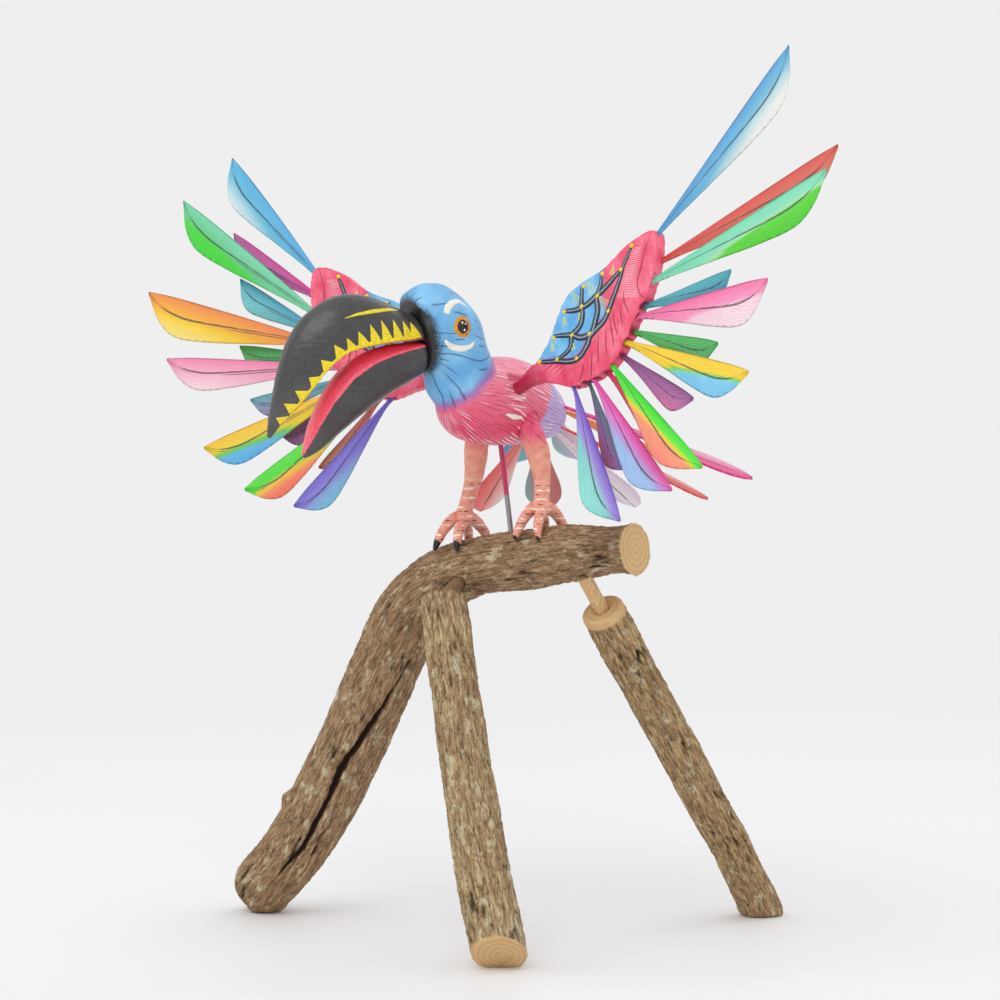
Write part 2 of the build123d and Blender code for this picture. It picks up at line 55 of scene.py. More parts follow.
FLOOR_RADIUS = 14
FLOOR_GAP = 0.0004
# Place of each lamp, the point it faces, its size in metres and its watts.
LAMPS = [((0.5, -1.5, 2.0), (0, 0, 0.3), 1.1, 11), ((-1.7, -1.1, 1.3), (0, 0, 0.3), 1.2, 4),
         ((0.4, 1.7, 1.9), (0, 0, 0.3), 1.4, 5)]
BACKDROP = (239, 239, 240)


rod_low, rod_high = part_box("mounting_rod")
MIDDLE = Vector(((rod_low.x + rod_high.x) / 2 / MM - ROD_CENTRE[0],
                 (rod_low.y + rod_high.y) / 2 / MM - ROD_CENTRE[1], 0))


def at(x, y, z):
    """A place in the part's frame, from millimetres beside the bird's middle plane."""
    return (Vector((x, y, z)) + MIDDLE) * MM


def srgb(red, green, blue):
    """A colour as the eye names it, 0 to 255, for a shader."""
    parts = [value / 255 for value in (red, green, blue)]
    return [p / 12.92 if p <= 0.04045 else ((p + 0.055) / 1.055) ** 2.4 for p in parts] + [1]


def add_node(tree, kind, inputs, **settings):
    """Adds a node. An input is a value, or another node's output."""
    made = tree.nodes.new(kind)
    for key, value in settings.items():
        setattr(made, key, value)
    for key, value in inputs.items():
        if isinstance(value, bpy.types.NodeSocket):
            tree.links.new(value, made.inputs[key])
        else:
            made.inputs[key].default_value = value
    return made


def new_finish(name, roughness, **settings):
    """An empty surface finish and its shader, with values that are the same all over."""
    finish = bpy.data.materials.new(name)
    finish.use_nodes = True
    shader = finish.node_tree.nodes["Principled BSDF"]
    shader.inputs["Roughness"].default_value = roughness
    for key, value in settings.items():
        shader.inputs[key.replace("_", " ")].default_value = value
    return finish, finish.node_tree, shader


def math_node(tree, operation, first, second=0.0, clamp=False):
    return add_node(tree, "ShaderNodeMath", {0: first, 1: second}, operation=operation,
                    use_clamp=clamp).outputs[0]


def times(tree, first, second):
    return math_node(tree, "MULTIPLY", first, second)


def plus(tree, first, second):
    return math_node(tree, "ADD", first, second)


def minus(tree, first, second):
    return math_node(tree, "SUBTRACT", first, second)


def object_place(tree):
    return add_node(tree, "ShaderNodeTexCoord", {}).outputs["Object"]


def carried(tree, name, kind):
    """A value that the mesh carries at each vertex under a name."""
    return add_node(tree, "ShaderNodeAttribute", {}, attribute_name=name).outputs[kind]


def fade(tree, value, start, end):
    """0 before start, 1 after end, and smooth between them."""
    return add_node(tree, "ShaderNodeMapRange", {0: value, 1: start, 2: end},
                    interpolation_type="SMOOTHSTEP").outputs[0]


def blend_colour(tree, share, first, second, way="MIX"):
    """second over first, as much as share says."""
    mix = add_node(tree, "ShaderNodeMix", {0: share, 6: first, 7: second}, data_type="RGBA", blend_type=way)
    return mix.outputs[2]


def speckle(tree, place, scale, detail=3.0, roughness=0.5):
    """Soft random values from 0 to 1 over a place."""
    return add_node(tree, "ShaderNodeTexNoise", {"Vector": place, "Scale": scale, "Detail": detail,
                                                 "Roughness": roughness}).outputs[0]


def stretched(tree, place, scale, turn=(0, 0, 0)):
    """The place, turned and then pressed together by scale on each axis."""
    turned = add_node(tree, "ShaderNodeMapping", {"Vector": place, "Rotation": turn})
    return add_node(tree, "ShaderNodeMapping", {"Vector": turned.outputs[0], "Scale": scale}).outputs[0]


def raise_grain(tree, shader, height, distance, strength=1.0):
    bump = add_node(tree, "ShaderNodeBump", {"Height": height, "Distance": distance, "Strength": strength})
    tree.links.new(bump.outputs[0], shader.inputs["Normal"])


def new_piece(name, form, finishes, smooth=True):
    """Makes an object of a bmesh, with its place in its mesh."""
    mesh = bpy.data.meshes.new(name)
    form.to_mesh(mesh)
    form.free()
    for finish in finishes:
        mesh.materials.append(finish)
    mesh.polygons.foreach_set("use_smooth", [smooth] * len(mesh.polygons))
    piece = bpy.data.objects.new(name, mesh)
    bpy.context.scene.collection.objects.link(piece)
    return piece


camera = bpy.data.objects.new("camera", bpy.data.cameras.new("camera"))
camera.location = at(*CAMERA_PLACE)
camera.rotation_euler = CAMERA_TURN
camera.data.lens = CAMERA_LENS
camera.data.sensor_width = 36
bpy.context.scene.collection.objects.link(camera)
bpy.context.scene.camera = camera
bpy.context.scene.view_settings.view_transform = "Standard"

for number, (place, facing, size, watts) in enumerate(LAMPS):
    lamp = bpy.data.objects.new(f"lamp_{number}", bpy.data.lights.new(f"lamp_{number}", "AREA"))
    lamp.data.size = size
    lamp.data.energy = watts
    lamp.location = place
    lamp.rotation_euler = (Vector(facing) - Vector(place)).to_track_quat("-Z", "Y").to_euler()
    bpy.context.scene.collection.objects.link(lamp)

world = bpy.data.worlds.new("studio")
bpy.context.scene.world = world
world.use_nodes = True
world.node_tree.nodes["Background"].inputs[0].default_value = srgb(*BACKDROP)
world.node_tree.nodes["Background"].inputs[1].default_value = 1.0

floor_finish, tree, shader = new_finish("floor_paint", 0.6)
where = object_place(tree)
tree.links.new(blend_colour(tree, speckle(tree, where, 3.0), srgb(238, 238, 239), srgb(243, 243, 243)),
               shader.inputs["Base Color"])
away = add_node(tree, "ShaderNodeVectorMath", {0: where}, operation="LENGTH").outputs["Value"]
far_light = add_node(tree, "ShaderNodeEmission", {"Color": srgb(*BACKDROP)})
both = add_node(tree, "ShaderNodeMixShader", {0: fade(tree, away, 0.5, 2.6), 1: shader.outputs[0],
                                              2: far_light.outputs[0]})
tree.links.new(both.outputs[0], tree.nodes["Material Output"].inputs["Surface"])
form = bmesh.new()
bmesh.ops.create_circle(form, cap_ends=True, segments=96, radius=FLOOR_RADIUS)
bmesh.ops.translate(form, verts=form.verts, vec=(0, 0, -FLOOR_GAP))
studio_floor = new_piece("studio_floor", form, [floor_finish], smooth=False)


# ---- stand: branches ----------------------------------------------------------------------------
# Three pieces of a dry branch with their bark on: a bent one that is the perch and the left leg,
# and two straight legs. The bark is rough along the branch, and the sawn ends show pale wood.
PERCH_LINE = [(100, 0, 247), (55, 0, 243), (7, 0, 237), (-29, 0, 230), (-53, 0, 219), (-71, 0, 202),
              (-88, 0, 174), (-118, 0, 118), (-149, 0, 67), (-175, 0, 35), (-192, 0, 19), (-203, 0, 6)]
FRONT_LINE = [(-31, -26, 235), (-23, -30.5, 216), (15, -57.5, 115), (58, -82, 14), (62, -84, 5)]
REAR_LINE = [(65, 5, 217), (66, 13, 209), (75.5, 146, 50), (80, 177, 3), (81, 180, -2)]
BARK_VOXEL = 1.25
LINE_STEPS = 24
SAWN_DEPTH, SAWN_BLEND = 1.7, 0.9       # how far in from a cut the bark stops, in mm
PERCH_RADIUS, FRONT_RADIUS, REAR_RADIUS = 20, 15, 13


def eased_line(points, steps):
    """Many points on a smooth line through a few."""
    line = []
    ends = [2 * points[0] - points[1], *points, 2 * points[-1] - points[-2]]
    for a, b, c, d in zip(ends, ends[1:], ends[2:], ends[3:]):
        for step in range(steps):
            t = step / steps
            line.append(0.5 * ((2 * b) + (c - a) * t + (2 * a - 5 * b + 4 * c - d) * t * t
                               + (3 * b - a - 3 * c + d) * t ** 3))
    return line + [points[-1]]


def sculpting_copy(name, nodes, voxel, eases=2):
    """One even skin over the CAD nodes, ready to be shaped, as a bmesh."""
    form = bmesh.new()
    for node in nodes:
        form.from_mesh(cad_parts[node].data)
    bmesh.ops.remove_doubles(form, verts=form.verts, dist=2e-6)
    rough = new_piece(name + "_rough", form, [])
    even = rough.modifiers.new("even", "REMESH")
    even.mode = "VOXEL"
    even.voxel_size = voxel * MM
    skin = bpy.data.meshes.new_from_object(rough.evaluated_get(bpy.context.evaluated_depsgraph_get()))
    bpy.data.objects.remove(rough)
    form = bmesh.new()
    form.from_mesh(skin)
    for _ in range(eases):
        bmesh.ops.smooth_vert(form, verts=form.verts, factor=0.5, use_axis_x=True, use_axis_y=True,
                              use_axis_z=True)
    form.normal_update()
    return form


def along_and_round(form, points, reference):
    """Each vertex's place beside a line: two distances from it, and the distance along it, in mm."""
    line = eased_line([at(*p) / MM for p in points], LINE_STEPS)
    lengths = [0]
    for a, b in zip(line, line[1:]):
        lengths.append(lengths[-1] + (b - a).length)
    tree = kdtree.KDTree(len(line))
    for number, point in enumerate(line):
        tree.insert(point, number)
    tree.balance()
    places = []
    for vertex in form.verts:
        here = vertex.co / MM
        number = tree.find(here)[1]
        before, after = line[max(number - 1, 0)], line[min(number + 1, len(line) - 1)]
        heading = (after - before).normalized()
        first = (reference - heading * reference.dot(heading)).normalized()
        offset = here - line[number]
        places.append(Vector((offset.dot(first), offset.dot(heading.cross(first)),
                              lengths[number] + offset.dot(heading))))
    return places


def bark_height(place, radius):
    """How far the bark stands out at a place on a branch, in mm: long broken ridges and pits."""
    spot = Vector((place.x, place.y, 0)).normalized() * radius
    spot.z = place.z
    ridges = noise.fractal(Vector((spot.x * 0.24, spot.y * 0.24, spot.z * 0.055)), 0.8, 2.1, 4)
    scales = noise.noise(Vector((spot.x * 0.6, spot.y * 0.6, spot.z * 0.22)))
    swells = noise.noise(Vector((spot.x * 0.05, spot.y * 0.05, spot.z * 0.03)) + Vector((7, 0, 0)))
    return swells * 1.6 - abs(ridges) * 2.2 + 0.6 + scales * 0.45


def groove_depth(place, route, width, depth):
    """How deep a crack is at a place. route is (along, turn in degrees) from end to end."""
    turn = math.degrees(math.atan2(place.y, place.x)) % 360
    reach = math.hypot(place.x, place.y)
    nearest = 1e9
    for (start, a), (end, b) in zip(route, route[1:]):
        share = min(max((place.z - start) / (end - start), 0), 1)
        wander = noise.noise(Vector((place.z * 0.035, 3,
                                     0))) * 2.5 + noise.noise(Vector((place.z * 0.2, 9, 0))) * 0.7
        across = math.radians((turn - a - (b - a) * share + 180) % 360 - 180) * reach + wander
        beyond = max(start - place.z, place.z - end, 0)
        nearest = min(nearest, math.hypot(across, beyond))
    share = min(max((place.z - route[0][0]) / (route[-1][0] - route[0][0]), 0), 1)
    taper = 0.25 + 0.75 * math.sin(math.pi * share)
    return depth * taper * max(0, 1 - nearest / (width * taper))


def bark_finish(name, tone, pale):
    """Grey-brown bark with pale flakes and dark fissure lines, painted shade darkening the deep furrows and
    cracks, and pale sawn wood where it is cut.
    """
    finish, tree, shader = new_finish(name, 0.85, Specular_IOR_Level=0.2)
    place = carried(tree, "branch_place", "Vector")
    depth = carried(tree, "bark_relief", "Fac")
    cut = carried(tree, "sawn", "Fac")
    fibres = speckle(tree, stretched(tree, place, (0.62, 0.62, 0.1)), 1.0, 6, 0.72)
    blotches = speckle(tree, stretched(tree, place, (0.07, 0.07, 0.03)), 1.0, 4, 0.6)
    lichen = speckle(tree, stretched(tree, place, (0.16, 0.16, 0.09)), 1.0, 5, 0.65)
    bark = add_node(tree, "ShaderNodeValToRGB", {0: fibres})
    stops = bark.color_ramp.elements
    stops[0].position, stops[0].color = 0.33, srgb(92, 70, 50)
    stops[1].position, stops[1].color = 0.68, srgb(*pale)
    middle = stops.new(0.5)
    middle.color = srgb(*tone)
    colour = blend_colour(tree, times(tree, fade(tree, blotches, 0.45, 0.7), 0.5), bark.outputs[0],
                          srgb(138, 108, 80))
    colour = blend_colour(tree, times(tree, fade(tree, lichen, 0.54, 0.66), 0.7), colour,
                          srgb(216, 206, 172))
    fissures = speckle(tree, stretched(tree, place, (0.42, 0.42, 0.07)), 1.0, 3, 0.6)
    off = math_node(tree, "ABSOLUTE", minus(tree, fissures, 0.5))
    colour = blend_colour(tree, times(tree, fade(tree, off, 0.028, 0.006), 0.7), colour, srgb(78, 58, 42))
    # Painted shade: where the bark's relief sinks deep, in the furrows and the drying crack, the colour
    # darkens to a near-black brown.
    colour = blend_colour(tree, fade(tree, depth, -0.3, -2.0), colour, srgb(52, 36, 26))
    ray = add_node(tree, "ShaderNodeVectorMath", {0: place, 1: (1, 1, 0)}, operation="MULTIPLY").outputs[0]
    reach = add_node(tree, "ShaderNodeVectorMath", {0: ray}, operation="LENGTH").outputs["Value"]
    wobble = speckle(tree, place, 0.15, 3)
    rings = math_node(tree, "SINE", plus(tree, times(tree, reach, 1.7), times(tree, wobble, 6.0)))
    wood = blend_colour(tree, fade(tree, rings, -0.6, 1.0), srgb(228, 192, 142), srgb(218, 178, 126))
    wood = blend_colour(tree, times(tree, fade(tree, speckle(tree, place, 1.6, 5), 0.5, 0.8), 0.6), wood,
                        srgb(168, 122, 78))
    tree.links.new(blend_colour(tree, cut, colour, wood), shader.inputs["Base Color"])
    raise_grain(tree, shader, fibres, 0.0011, 0.9)
    return finish


def branch(name, node, points, radius, reference, cuts, grooves, tone, pale, bumps=()):
    """A branch with its bark worked over the CAD solid. cuts are sawn planes (point, outward)."""
    form = sculpting_copy(name, [node], BARK_VOXEL)
    places = along_and_round(form, points, reference)
    place_layer = form.verts.layers.float_vector.new("branch_place")
    relief_layer = form.verts.layers.float.new("bark_relief")
    sawn_layer = form.verts.layers.float.new("sawn")
    for vertex, place in zip(form.verts, places):
        vertex[place_layer] = place
        sawn = 0
        for point, outward in cuts:
            beyond = (vertex.co / MM - at(*point) / MM).dot(Vector(outward).normalized())
            sawn = max(sawn, min(max((beyond + SAWN_DEPTH) / SAWN_BLEND, 0), 1))
        out = Vector((place.x, place.y, 0))
        height = bark_height(place, radius)
        for along, turn, size, rise in bumps:
            spot = Vector((math.cos(math.radians(turn)), math.sin(math.radians(turn)), 0)) * radius
            away = math.hypot((out.normalized() * radius - spot).length, place.z - along)
            height += rise * math.exp(-(away / size) ** 2)
        for route, width, depth in grooves:
            height -= groove_depth(place, route, width, depth)
        height *= 1 - sawn
        vertex[sawn_layer] = sawn
        vertex[relief_layer] = height
    for vertex in form.verts:
        vertex.co += vertex.normal * vertex[relief_layer] * MM
        vertex.co.z = max(vertex.co.z, 0)
    piece = new_piece(name, form, [bark_finish(name + "_bark", tone, pale)])
    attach(piece, "stand")
    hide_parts(node)
    return piece


# Where the drying crack runs: mm along the branch, and degrees round it.
LONG_CRACK = [(195, 285), (252, 308), (283, 325), (341, 322), (388, 331)]
branch("perch_bark", "perch_branch", PERCH_LINE, PERCH_RADIUS, Vector((0, -1, 0)),
       [((100, 0, 247), (45, 0, 4))],
       [(LONG_CRACK, 2.7, 6)], (162, 130, 98), (206, 176, 136), [(337, 62, 6, 4), (397, 300, 5, 2.4)])
branch("front_leg_bark", "front_leg", FRONT_LINE, FRONT_RADIUS, Vector((1, 0, 0)),
       [((54.5, -77, 0), (0.4156, -0.572, -0.7071))], [], (176, 148, 108),
       (224, 206, 164))
branch("rear_leg_bark", "rear_leg", REAR_LINE, REAR_RADIUS, Vector((1, 0, 0)),
       [((66.2, 16, 205.5), (-0.05, -0.65, 0.76))],
       [([(150, 200), (215, 215)], 1.6, 2.4)], (172, 142, 102), (218, 192, 146))


# ---- stand: dowels ------------------------------------------------------------------------------
# Turned pegs that hold the two straight legs to the perch. They are glued in. The longer one shows
# as pale wood between the perch and the rear leg, and the short one is darkened to a bark brown as painted
# shade, so that it reads as shadow in its joint.
def wood_finish(name, light, dark, scale):
    """Plain planed wood with fine long grain."""
    finish, tree, shader = new_finish(name, 0.6, Specular_IOR_Level=0.3)
    where = object_place(tree)
    grain = speckle(tree, stretched(tree, where, scale), 1.0, 5, 0.65)
    tree.links.new(blend_colour(tree, fade(tree, grain, 0.35, 0.7), srgb(*light), srgb(*dark)),
                   shader.inputs["Base Color"])
    raise_grain(tree, shader, grain, 0.0002, 0.6)
    return finish


dowel_wood = wood_finish("dowel_wood", (226, 190, 142), (190, 146, 98), (900, 900, 110))
# The short peg's darker wood is painted shade, so that it does not show in the front leg's joint.
peg_shade_wood = wood_finish("peg_shade_wood", (150, 120, 90), (112, 86, 62), (700, 700, 160))
for node, wood in (("front_leg_dowel", peg_shade_wood), ("rear_leg_dowel", dowel_wood)):
    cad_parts[node].data.materials.clear()
    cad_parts[node].data.materials.append(wood)


# ---- bird: body ---------------------------------------------------------------------------------
# The trunk, neck and head are one carved piece of light wood, painted by hand: a sky-blue head and
# bib, a pink trunk and a lilac rump, with fine hair lines and a black ring sprayed round the beak.
HEAD_AXIS = (-11.5, -50, 373)
HEAD_TURN = math.radians(28)
BIB_CENTRE = (-8, -62, 375)
RING_CENTRE = (22, 0, 0)
RING_RADIUS = 25.5
TRUNK_HEIGHT = 335
HAIR_REACH = 20                         # a turn round the body counts this many millimetres a radian
HEAD_FORWARD = Vector((-math.sin(HEAD_TURN), -math.cos(HEAD_TURN), 0))
HEAD_SIDE = Vector((math.cos(HEAD_TURN), -math.sin(HEAD_TURN), 0))


HAIR_ZONE = 46                          # hair follows the head this near the bib's centre, in mm
# Heights or distances in metres between which one colour of the body turns to the next.
TRUNK_FADE, BIB_EDGE, PURPLE_EDGE = (0.322, 0.366), (0.040, 0.0465), (0.0445, 0.0505)
RUMP_AT, RUMP_SLOPE = (27, 345), 0.6
# Brushed strokes: mm between two, thickness as a share of that, how much is bare, and a start.
HEAD_STROKES = (3.6, 0.14, 0.49, 0.2)
TRUNK_STROKES = (2.3, 0.15, 0.42, 0.0)
WHITE_STROKES = (2.3, 0.2, 0.42, 0.5)


def in_head(ahead, height, aside):
    """A place by the head's own axis: ahead, up, and to the bird's left."""
    spot = Vector(HEAD_AXIS) + HEAD_FORWARD * ahead + HEAD_SIDE * aside
    return at(spot.x, spot.y, spot.z + height)


def hair_lines(tree, place, spacing, thickness, bare, seed):
    """1 on combed strokes along the place's second number, spacing mm apart, each with its own ends."""
    split = add_node(tree, "ShaderNodeSeparateXYZ", {0: place}).outputs
    wander = speckle(tree, stretched(tree, place, (0.05, 0.03, 1)), 1.0, 1)
    across = plus(tree, times(tree, split[0], 1 / spacing), plus(tree, times(tree, wander, 2.5), seed))
    off = math_node(tree, "ABSOLUTE", minus(tree, math_node(tree, "FRACT", across), 0.5))
    count = math_node(tree, "FLOOR", across)
    own = add_node(tree, "ShaderNodeCombineXYZ", {0: times(tree, count, 7.31),
                                                  1: times(tree, split[1], 0.06)}).outputs[0]
    drawn = fade(tree, speckle(tree, own, 1.0, 0), bare, bare + 0.07)
    return times(tree, fade(tree, off, thickness, thickness * 0.35), drawn)


def body_finish():
    finish, tree, shader = new_finish("body_paint", 0.42, Coat_Weight=0.12, Coat_Roughness=0.3)
    where = object_place(tree)
    cloud = speckle(tree, where, 60.0, 4)
    bib = add_node(tree, "ShaderNodeVectorMath", {0: where, 1: at(*BIB_CENTRE)}, operation="DISTANCE")
    fuzz = speckle(tree, stretched(tree, where, (500, 60, 500), (-0.6, 0, 0)), 1.0, 2)
    to_bib = plus(tree, bib.outputs["Value"], times(tree, fuzz, 0.006))
    split = add_node(tree, "ShaderNodeSeparateXYZ", {0: where}).outputs
    height = plus(tree, split[2], times(tree, fuzz, 0.012))
    trunk = blend_colour(tree, fade(tree, height, *TRUNK_FADE), srgb(229, 62, 104), srgb(240, 138, 160))
    trunk = blend_colour(tree, times(tree, fade(tree, cloud, 0.4, 0.7), 0.5), trunk, srgb(236, 104, 136))
    rump = plus(tree, times(tree, split[2], -RUMP_SLOPE), split[1])
    rump = plus(tree, rump, times(tree, fuzz, 0.008))
    rump_edge = (RUMP_AT[0] + MIDDLE.y - RUMP_SLOPE * RUMP_AT[1]) * MM
    trunk = blend_colour(tree, fade(tree, rump, rump_edge - 0.002, rump_edge + 0.006), trunk,
                         srgb(182, 160, 218))
    blue = blend_colour(tree, fade(tree, cloud, 0.3, 0.75), srgb(92, 166, 219), srgb(138, 200, 238))
    purple = blend_colour(tree, fade(tree, to_bib, *PURPLE_EDGE), srgb(150, 110, 180), trunk)
    colour = blend_colour(tree, fade(tree, to_bib, *BIB_EDGE), blue, purple)
    hair = carried(tree, "hair_place", "Vector")
    in_bib = fade(tree, to_bib, 0.052, 0.046)
    dark = plus(tree, times(tree, hair_lines(tree, hair, *HEAD_STROKES), in_bib),
                times(tree, hair_lines(tree, hair, *TRUNK_STROKES), minus(tree, 1.0, in_bib)))
    ink = blend_colour(tree, in_bib, srgb(130, 34, 74), srgb(22, 52, 104))
    colour = blend_colour(tree, times(tree, dark, 0.66), colour, ink)
    tufts = fade(tree, speckle(tree, stretched(tree, hair, (0.045, 0.045, 1)), 1.0, 1), 0.48, 0.56)
    pale = times(tree, hair_lines(tree, hair, *WHITE_STROKES), tufts)
    on_trunk = fade(tree, to_bib, 0.046, 0.052)
    colour = blend_colour(tree, times(tree, pale, times(tree, on_trunk, 0.85)), colour, srgb(253, 226, 232))
    soot = speckle(tree, where, 800.0, 3)
    to_beak = add_node(tree, "ShaderNodeVectorMath", {0: where, 1: in_head(*RING_CENTRE)},
                       operation="DISTANCE")
    ring = plus(tree, to_beak.outputs["Value"], times(tree, soot, 0.005))
    sprayed = fade(tree, ring, (RING_RADIUS + 4.6) * MM, RING_RADIUS * MM)
    colour = blend_colour(tree, sprayed, colour, srgb(26, 25, 28))
    tree.links.new(colour, shader.inputs["Base Color"])
    raise_grain(tree, shader, plus(tree, dark, soot), 0.00012, 0.5)
    return finish


def hair_place(spot):
    """Distance round and along the head or the trunk, which the hair lines follow, in mm."""
    here = spot / MM
    if (here - at(*BIB_CENTRE) / MM).length < HAIR_ZONE:
        offset = here - at(*HEAD_AXIS) / MM
        around = math.atan2(offset.dot(HEAD_SIDE), offset.z)
        return Vector((around * HAIR_REACH + offset.dot(HEAD_FORWARD) * 0.1, offset.dot(HEAD_FORWARD), 0))
    offset = here - at(0, 0, TRUNK_HEIGHT) / MM
    around = math.atan2(offset.x, offset.z)
    return Vector((around * HAIR_REACH - abs(offset.y + 60) * 0.25 * (1 if offset.x > 0 else -1),
                   offset.y + 200, 0))


body_paint = body_finish()
form = sculpting_copy("body", ["bird_body"], 0.9, 5)
hair_layer = form.verts.layers.float_vector.new("hair_place")
for vertex in form.verts:
    vertex[hair_layer] = hair_place(vertex.co)
body_piece = new_piece("body_carving", form, [body_paint])
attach(body_piece, "bird")
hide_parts("bird_body")


# ---- bird: beak ---------------------------------------------------------------------------------
# Two curved halves carved separately and pegged into the head, in satin black with the wood grain
# showing through. The mouth's inside is pink, and both sides of the upper half carry yellow teeth.
BEAK_START = 15
UPPER_EDGE = [(0.3, 0.8), (12, -0.5), (27, -2.5), (41, -5), (53, -9), (64, -18), (72.5, -29), (79, -38),
              (86, -46), (92, -53.5), (95.5, -59)]
LOWER_TOP = [(-0.5, -3), (10, -5.5), (22, -9), (34, -14), (47, -23), (59, -37), (67, -51), (72, -62),
             (75, -69)]


def height_on(points, ahead):
    """Height of a line of points at a distance ahead."""
    for (start, low), (end, high) in zip(points, points[1:]):
        if ahead <= end:
            return low + (high - low) * (ahead - start) / (end - start)
    return points[-1][1]


def beak_finish():
    finish, tree, shader = new_finish("beak_black", 0.36, Coat_Weight=0.25, Coat_Roughness=0.28)
    where = object_place(tree)
    inside = carried(tree, "mouth", "Fac")
    grain = speckle(tree, stretched(tree, where, (900, 160, 600), (0, 0, HEAD_TURN)), 1.0, 6, 0.75)
    cloud = speckle(tree, where, 28.0, 2)
    black = blend_colour(tree, fade(tree, grain, 0.2, 0.85), srgb(44, 43, 45), srgb(74, 72, 73))
    black = blend_colour(tree, times(tree, fade(tree, cloud, 0.4, 0.8), 0.35), black, srgb(110, 108, 106))
    pink = blend_colour(tree, fade(tree, grain, 0.35, 0.7), srgb(238, 72, 96), srgb(247, 112, 132))
    ragged = plus(tree, inside, times(tree, grain, 0.3))
    tree.links.new(blend_colour(tree, fade(tree, ragged, 0.6, 0.72), black, pink),
                   shader.inputs["Base Color"])
    raise_grain(tree, shader, grain, 0.00018, 0.6)
    return finish


def beak_half(name, node, inside_of, voxel=0.8):
    """One half of the beak, with the share of its skin that is inside the mouth marked."""
    form = sculpting_copy(name, [node], voxel, 3)
    mouth = form.verts.layers.float.new("mouth")
    for vertex in form.verts:
        offset = vertex.co / MM - at(*HEAD_AXIS) / MM
        ahead = offset.dot(HEAD_FORWARD) - BEAK_START
        vertex[mouth] = inside_of(ahead, offset.z)
        grain = noise.fractal(Vector((ahead * 0.09, offset.dot(HEAD_SIDE) * 0.3, offset.z * 0.3)), 1, 2, 3)
        vertex.co += vertex.normal * grain * 0.16 * MM
    return new_piece(name, form, [beak_black])


def upper_inside(ahead, height):
    above = height - height_on(UPPER_EDGE, ahead)
    return min(max(0.5 + (0.6 - above) / 2, 0), 1)


def lower_inside(ahead, height):
    below = height_on(LOWER_TOP, ahead) - height
    return min(max(0.5 + (0.8 - below) / 2, 0), 1)


beak_black = beak_finish()
upper_piece = beak_half("upper_beak_carving", "upper_beak", upper_inside)
lower_piece = beak_half("lower_beak_carving", "lower_beak", lower_inside)
for piece, node in ((upper_piece, "upper_beak"), (lower_piece, "lower_beak")):
    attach(piece, "bird")
    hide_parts(node)


# ---- bird: painted strokes ----------------------------------------------------------------------
# Thick brush strokes and dots that stand a little proud of the carving: teeth, brows, eyes and the
# white marks, and white dots on the pupils that are painted highlights. Each is a thin skin of paint
# dropped on to the wood below it.
def skin_tree(piece):
    form = bmesh.new()
    form.from_mesh(piece.data)
    tree = BVHTree.FromBMesh(form)
    form.free()
    return tree


AIM_ROOM = 60                           # a ray starts this far off the stroke, in mm
SAME_FACE, SAME_SIDE = 3, 25            # steps in depth that still belong to one stroke, in mm


def on_skin(skin, look, spot, middle, depth):
    """Where a stroke's spot lands on the carving, drawn in towards the stroke's middle at an edge."""
    share = 1
    while share > 0.05:
        aim = middle.lerp(spot, share)
        hit = skin.ray_cast(aim - look * AIM_ROOM * MM, look)[0]
        if hit is not None and abs((hit - middle).dot(look) - depth) < SAME_FACE * MM:
            break
        share -= 0.1
    kept = middle.lerp(spot, share + (1 - share) * 0.15)
    landed = (hit - middle).dot(look) if share > 0.05 else depth
    return kept + look * (landed - (kept - middle).dot(look))


def paint_patch(form, skin, look, spot_at, lift, steps=(14, 4), thick=0.35):
    """Lays one stroke. spot_at gives a place for shares from -1 to 1 along and across, in metres."""
    depth = None
    made = bmesh.ops.create_grid(form, x_segments=steps[0], y_segments=steps[1], size=1)["verts"]
    for vertex in made:
        along, across = vertex.co.x, vertex.co.y
        middle = spot_at(along, 0)
        hit = skin.ray_cast(middle - look * AIM_ROOM * MM, look)[0]
        if depth is None:
            depth = ((hit or skin.find_nearest(middle)[0]) - middle).dot(look)
        elif hit is not None and abs((hit - middle).dot(look) - depth) < SAME_SIDE * MM:
            depth = (hit - middle).dot(look)
        place = on_skin(skin, look, spot_at(along, across), middle, depth)
        crown = (1 - across ** 4) * (1 - along ** 8)
        vertex.co = place - look * (lift * (crown - 0.3) + 0.02) * MM
    faces = list({face for vertex in made for face in vertex.link_faces})
    edges = list({edge for face in faces for edge in face.edges})
    lower = bmesh.ops.extrude_face_region(form, geom=faces + edges, use_keep_orig=True)["geom"]
    lower = [part for part in lower if isinstance(part, bmesh.types.BMVert)]
    bmesh.ops.translate(form, verts=lower, vec=look * thick * MM)
    closed = list({face for vertex in made + lower for face in vertex.link_faces})
    bmesh.ops.recalc_face_normals(form, faces=closed)


def gloss_paint(name, light, dark, roughness=0.4, scale=900.0):
    """One pot of paint with brush marks and a little unevenness."""
    finish, tree, shader = new_finish(name, roughness, Coat_Weight=0.15, Coat_Roughness=0.25)
    where = object_place(tree)
    brushed = speckle(tree, stretched(tree, where, (scale, scale * 0.25, scale)), 1.0, 4, 0.6)
    tree.links.new(blend_colour(tree, fade(tree, brushed, 0.35, 0.7), srgb(*light), srgb(*dark)),
                   shader.inputs["Base Color"])
    raise_grain(tree, shader, brushed, 0.0001, 0.5)
    return finish


def disc_spot(centre, first, second):
    """A round spot for paint_patch: centre and two half axes."""
    def spot(along, across):
        reach = max(abs(along), abs(across))
        size = math.hypot(along, across)
        scale = reach / size if size else 0
        return centre + first * along * scale + second * across * scale
    return spot


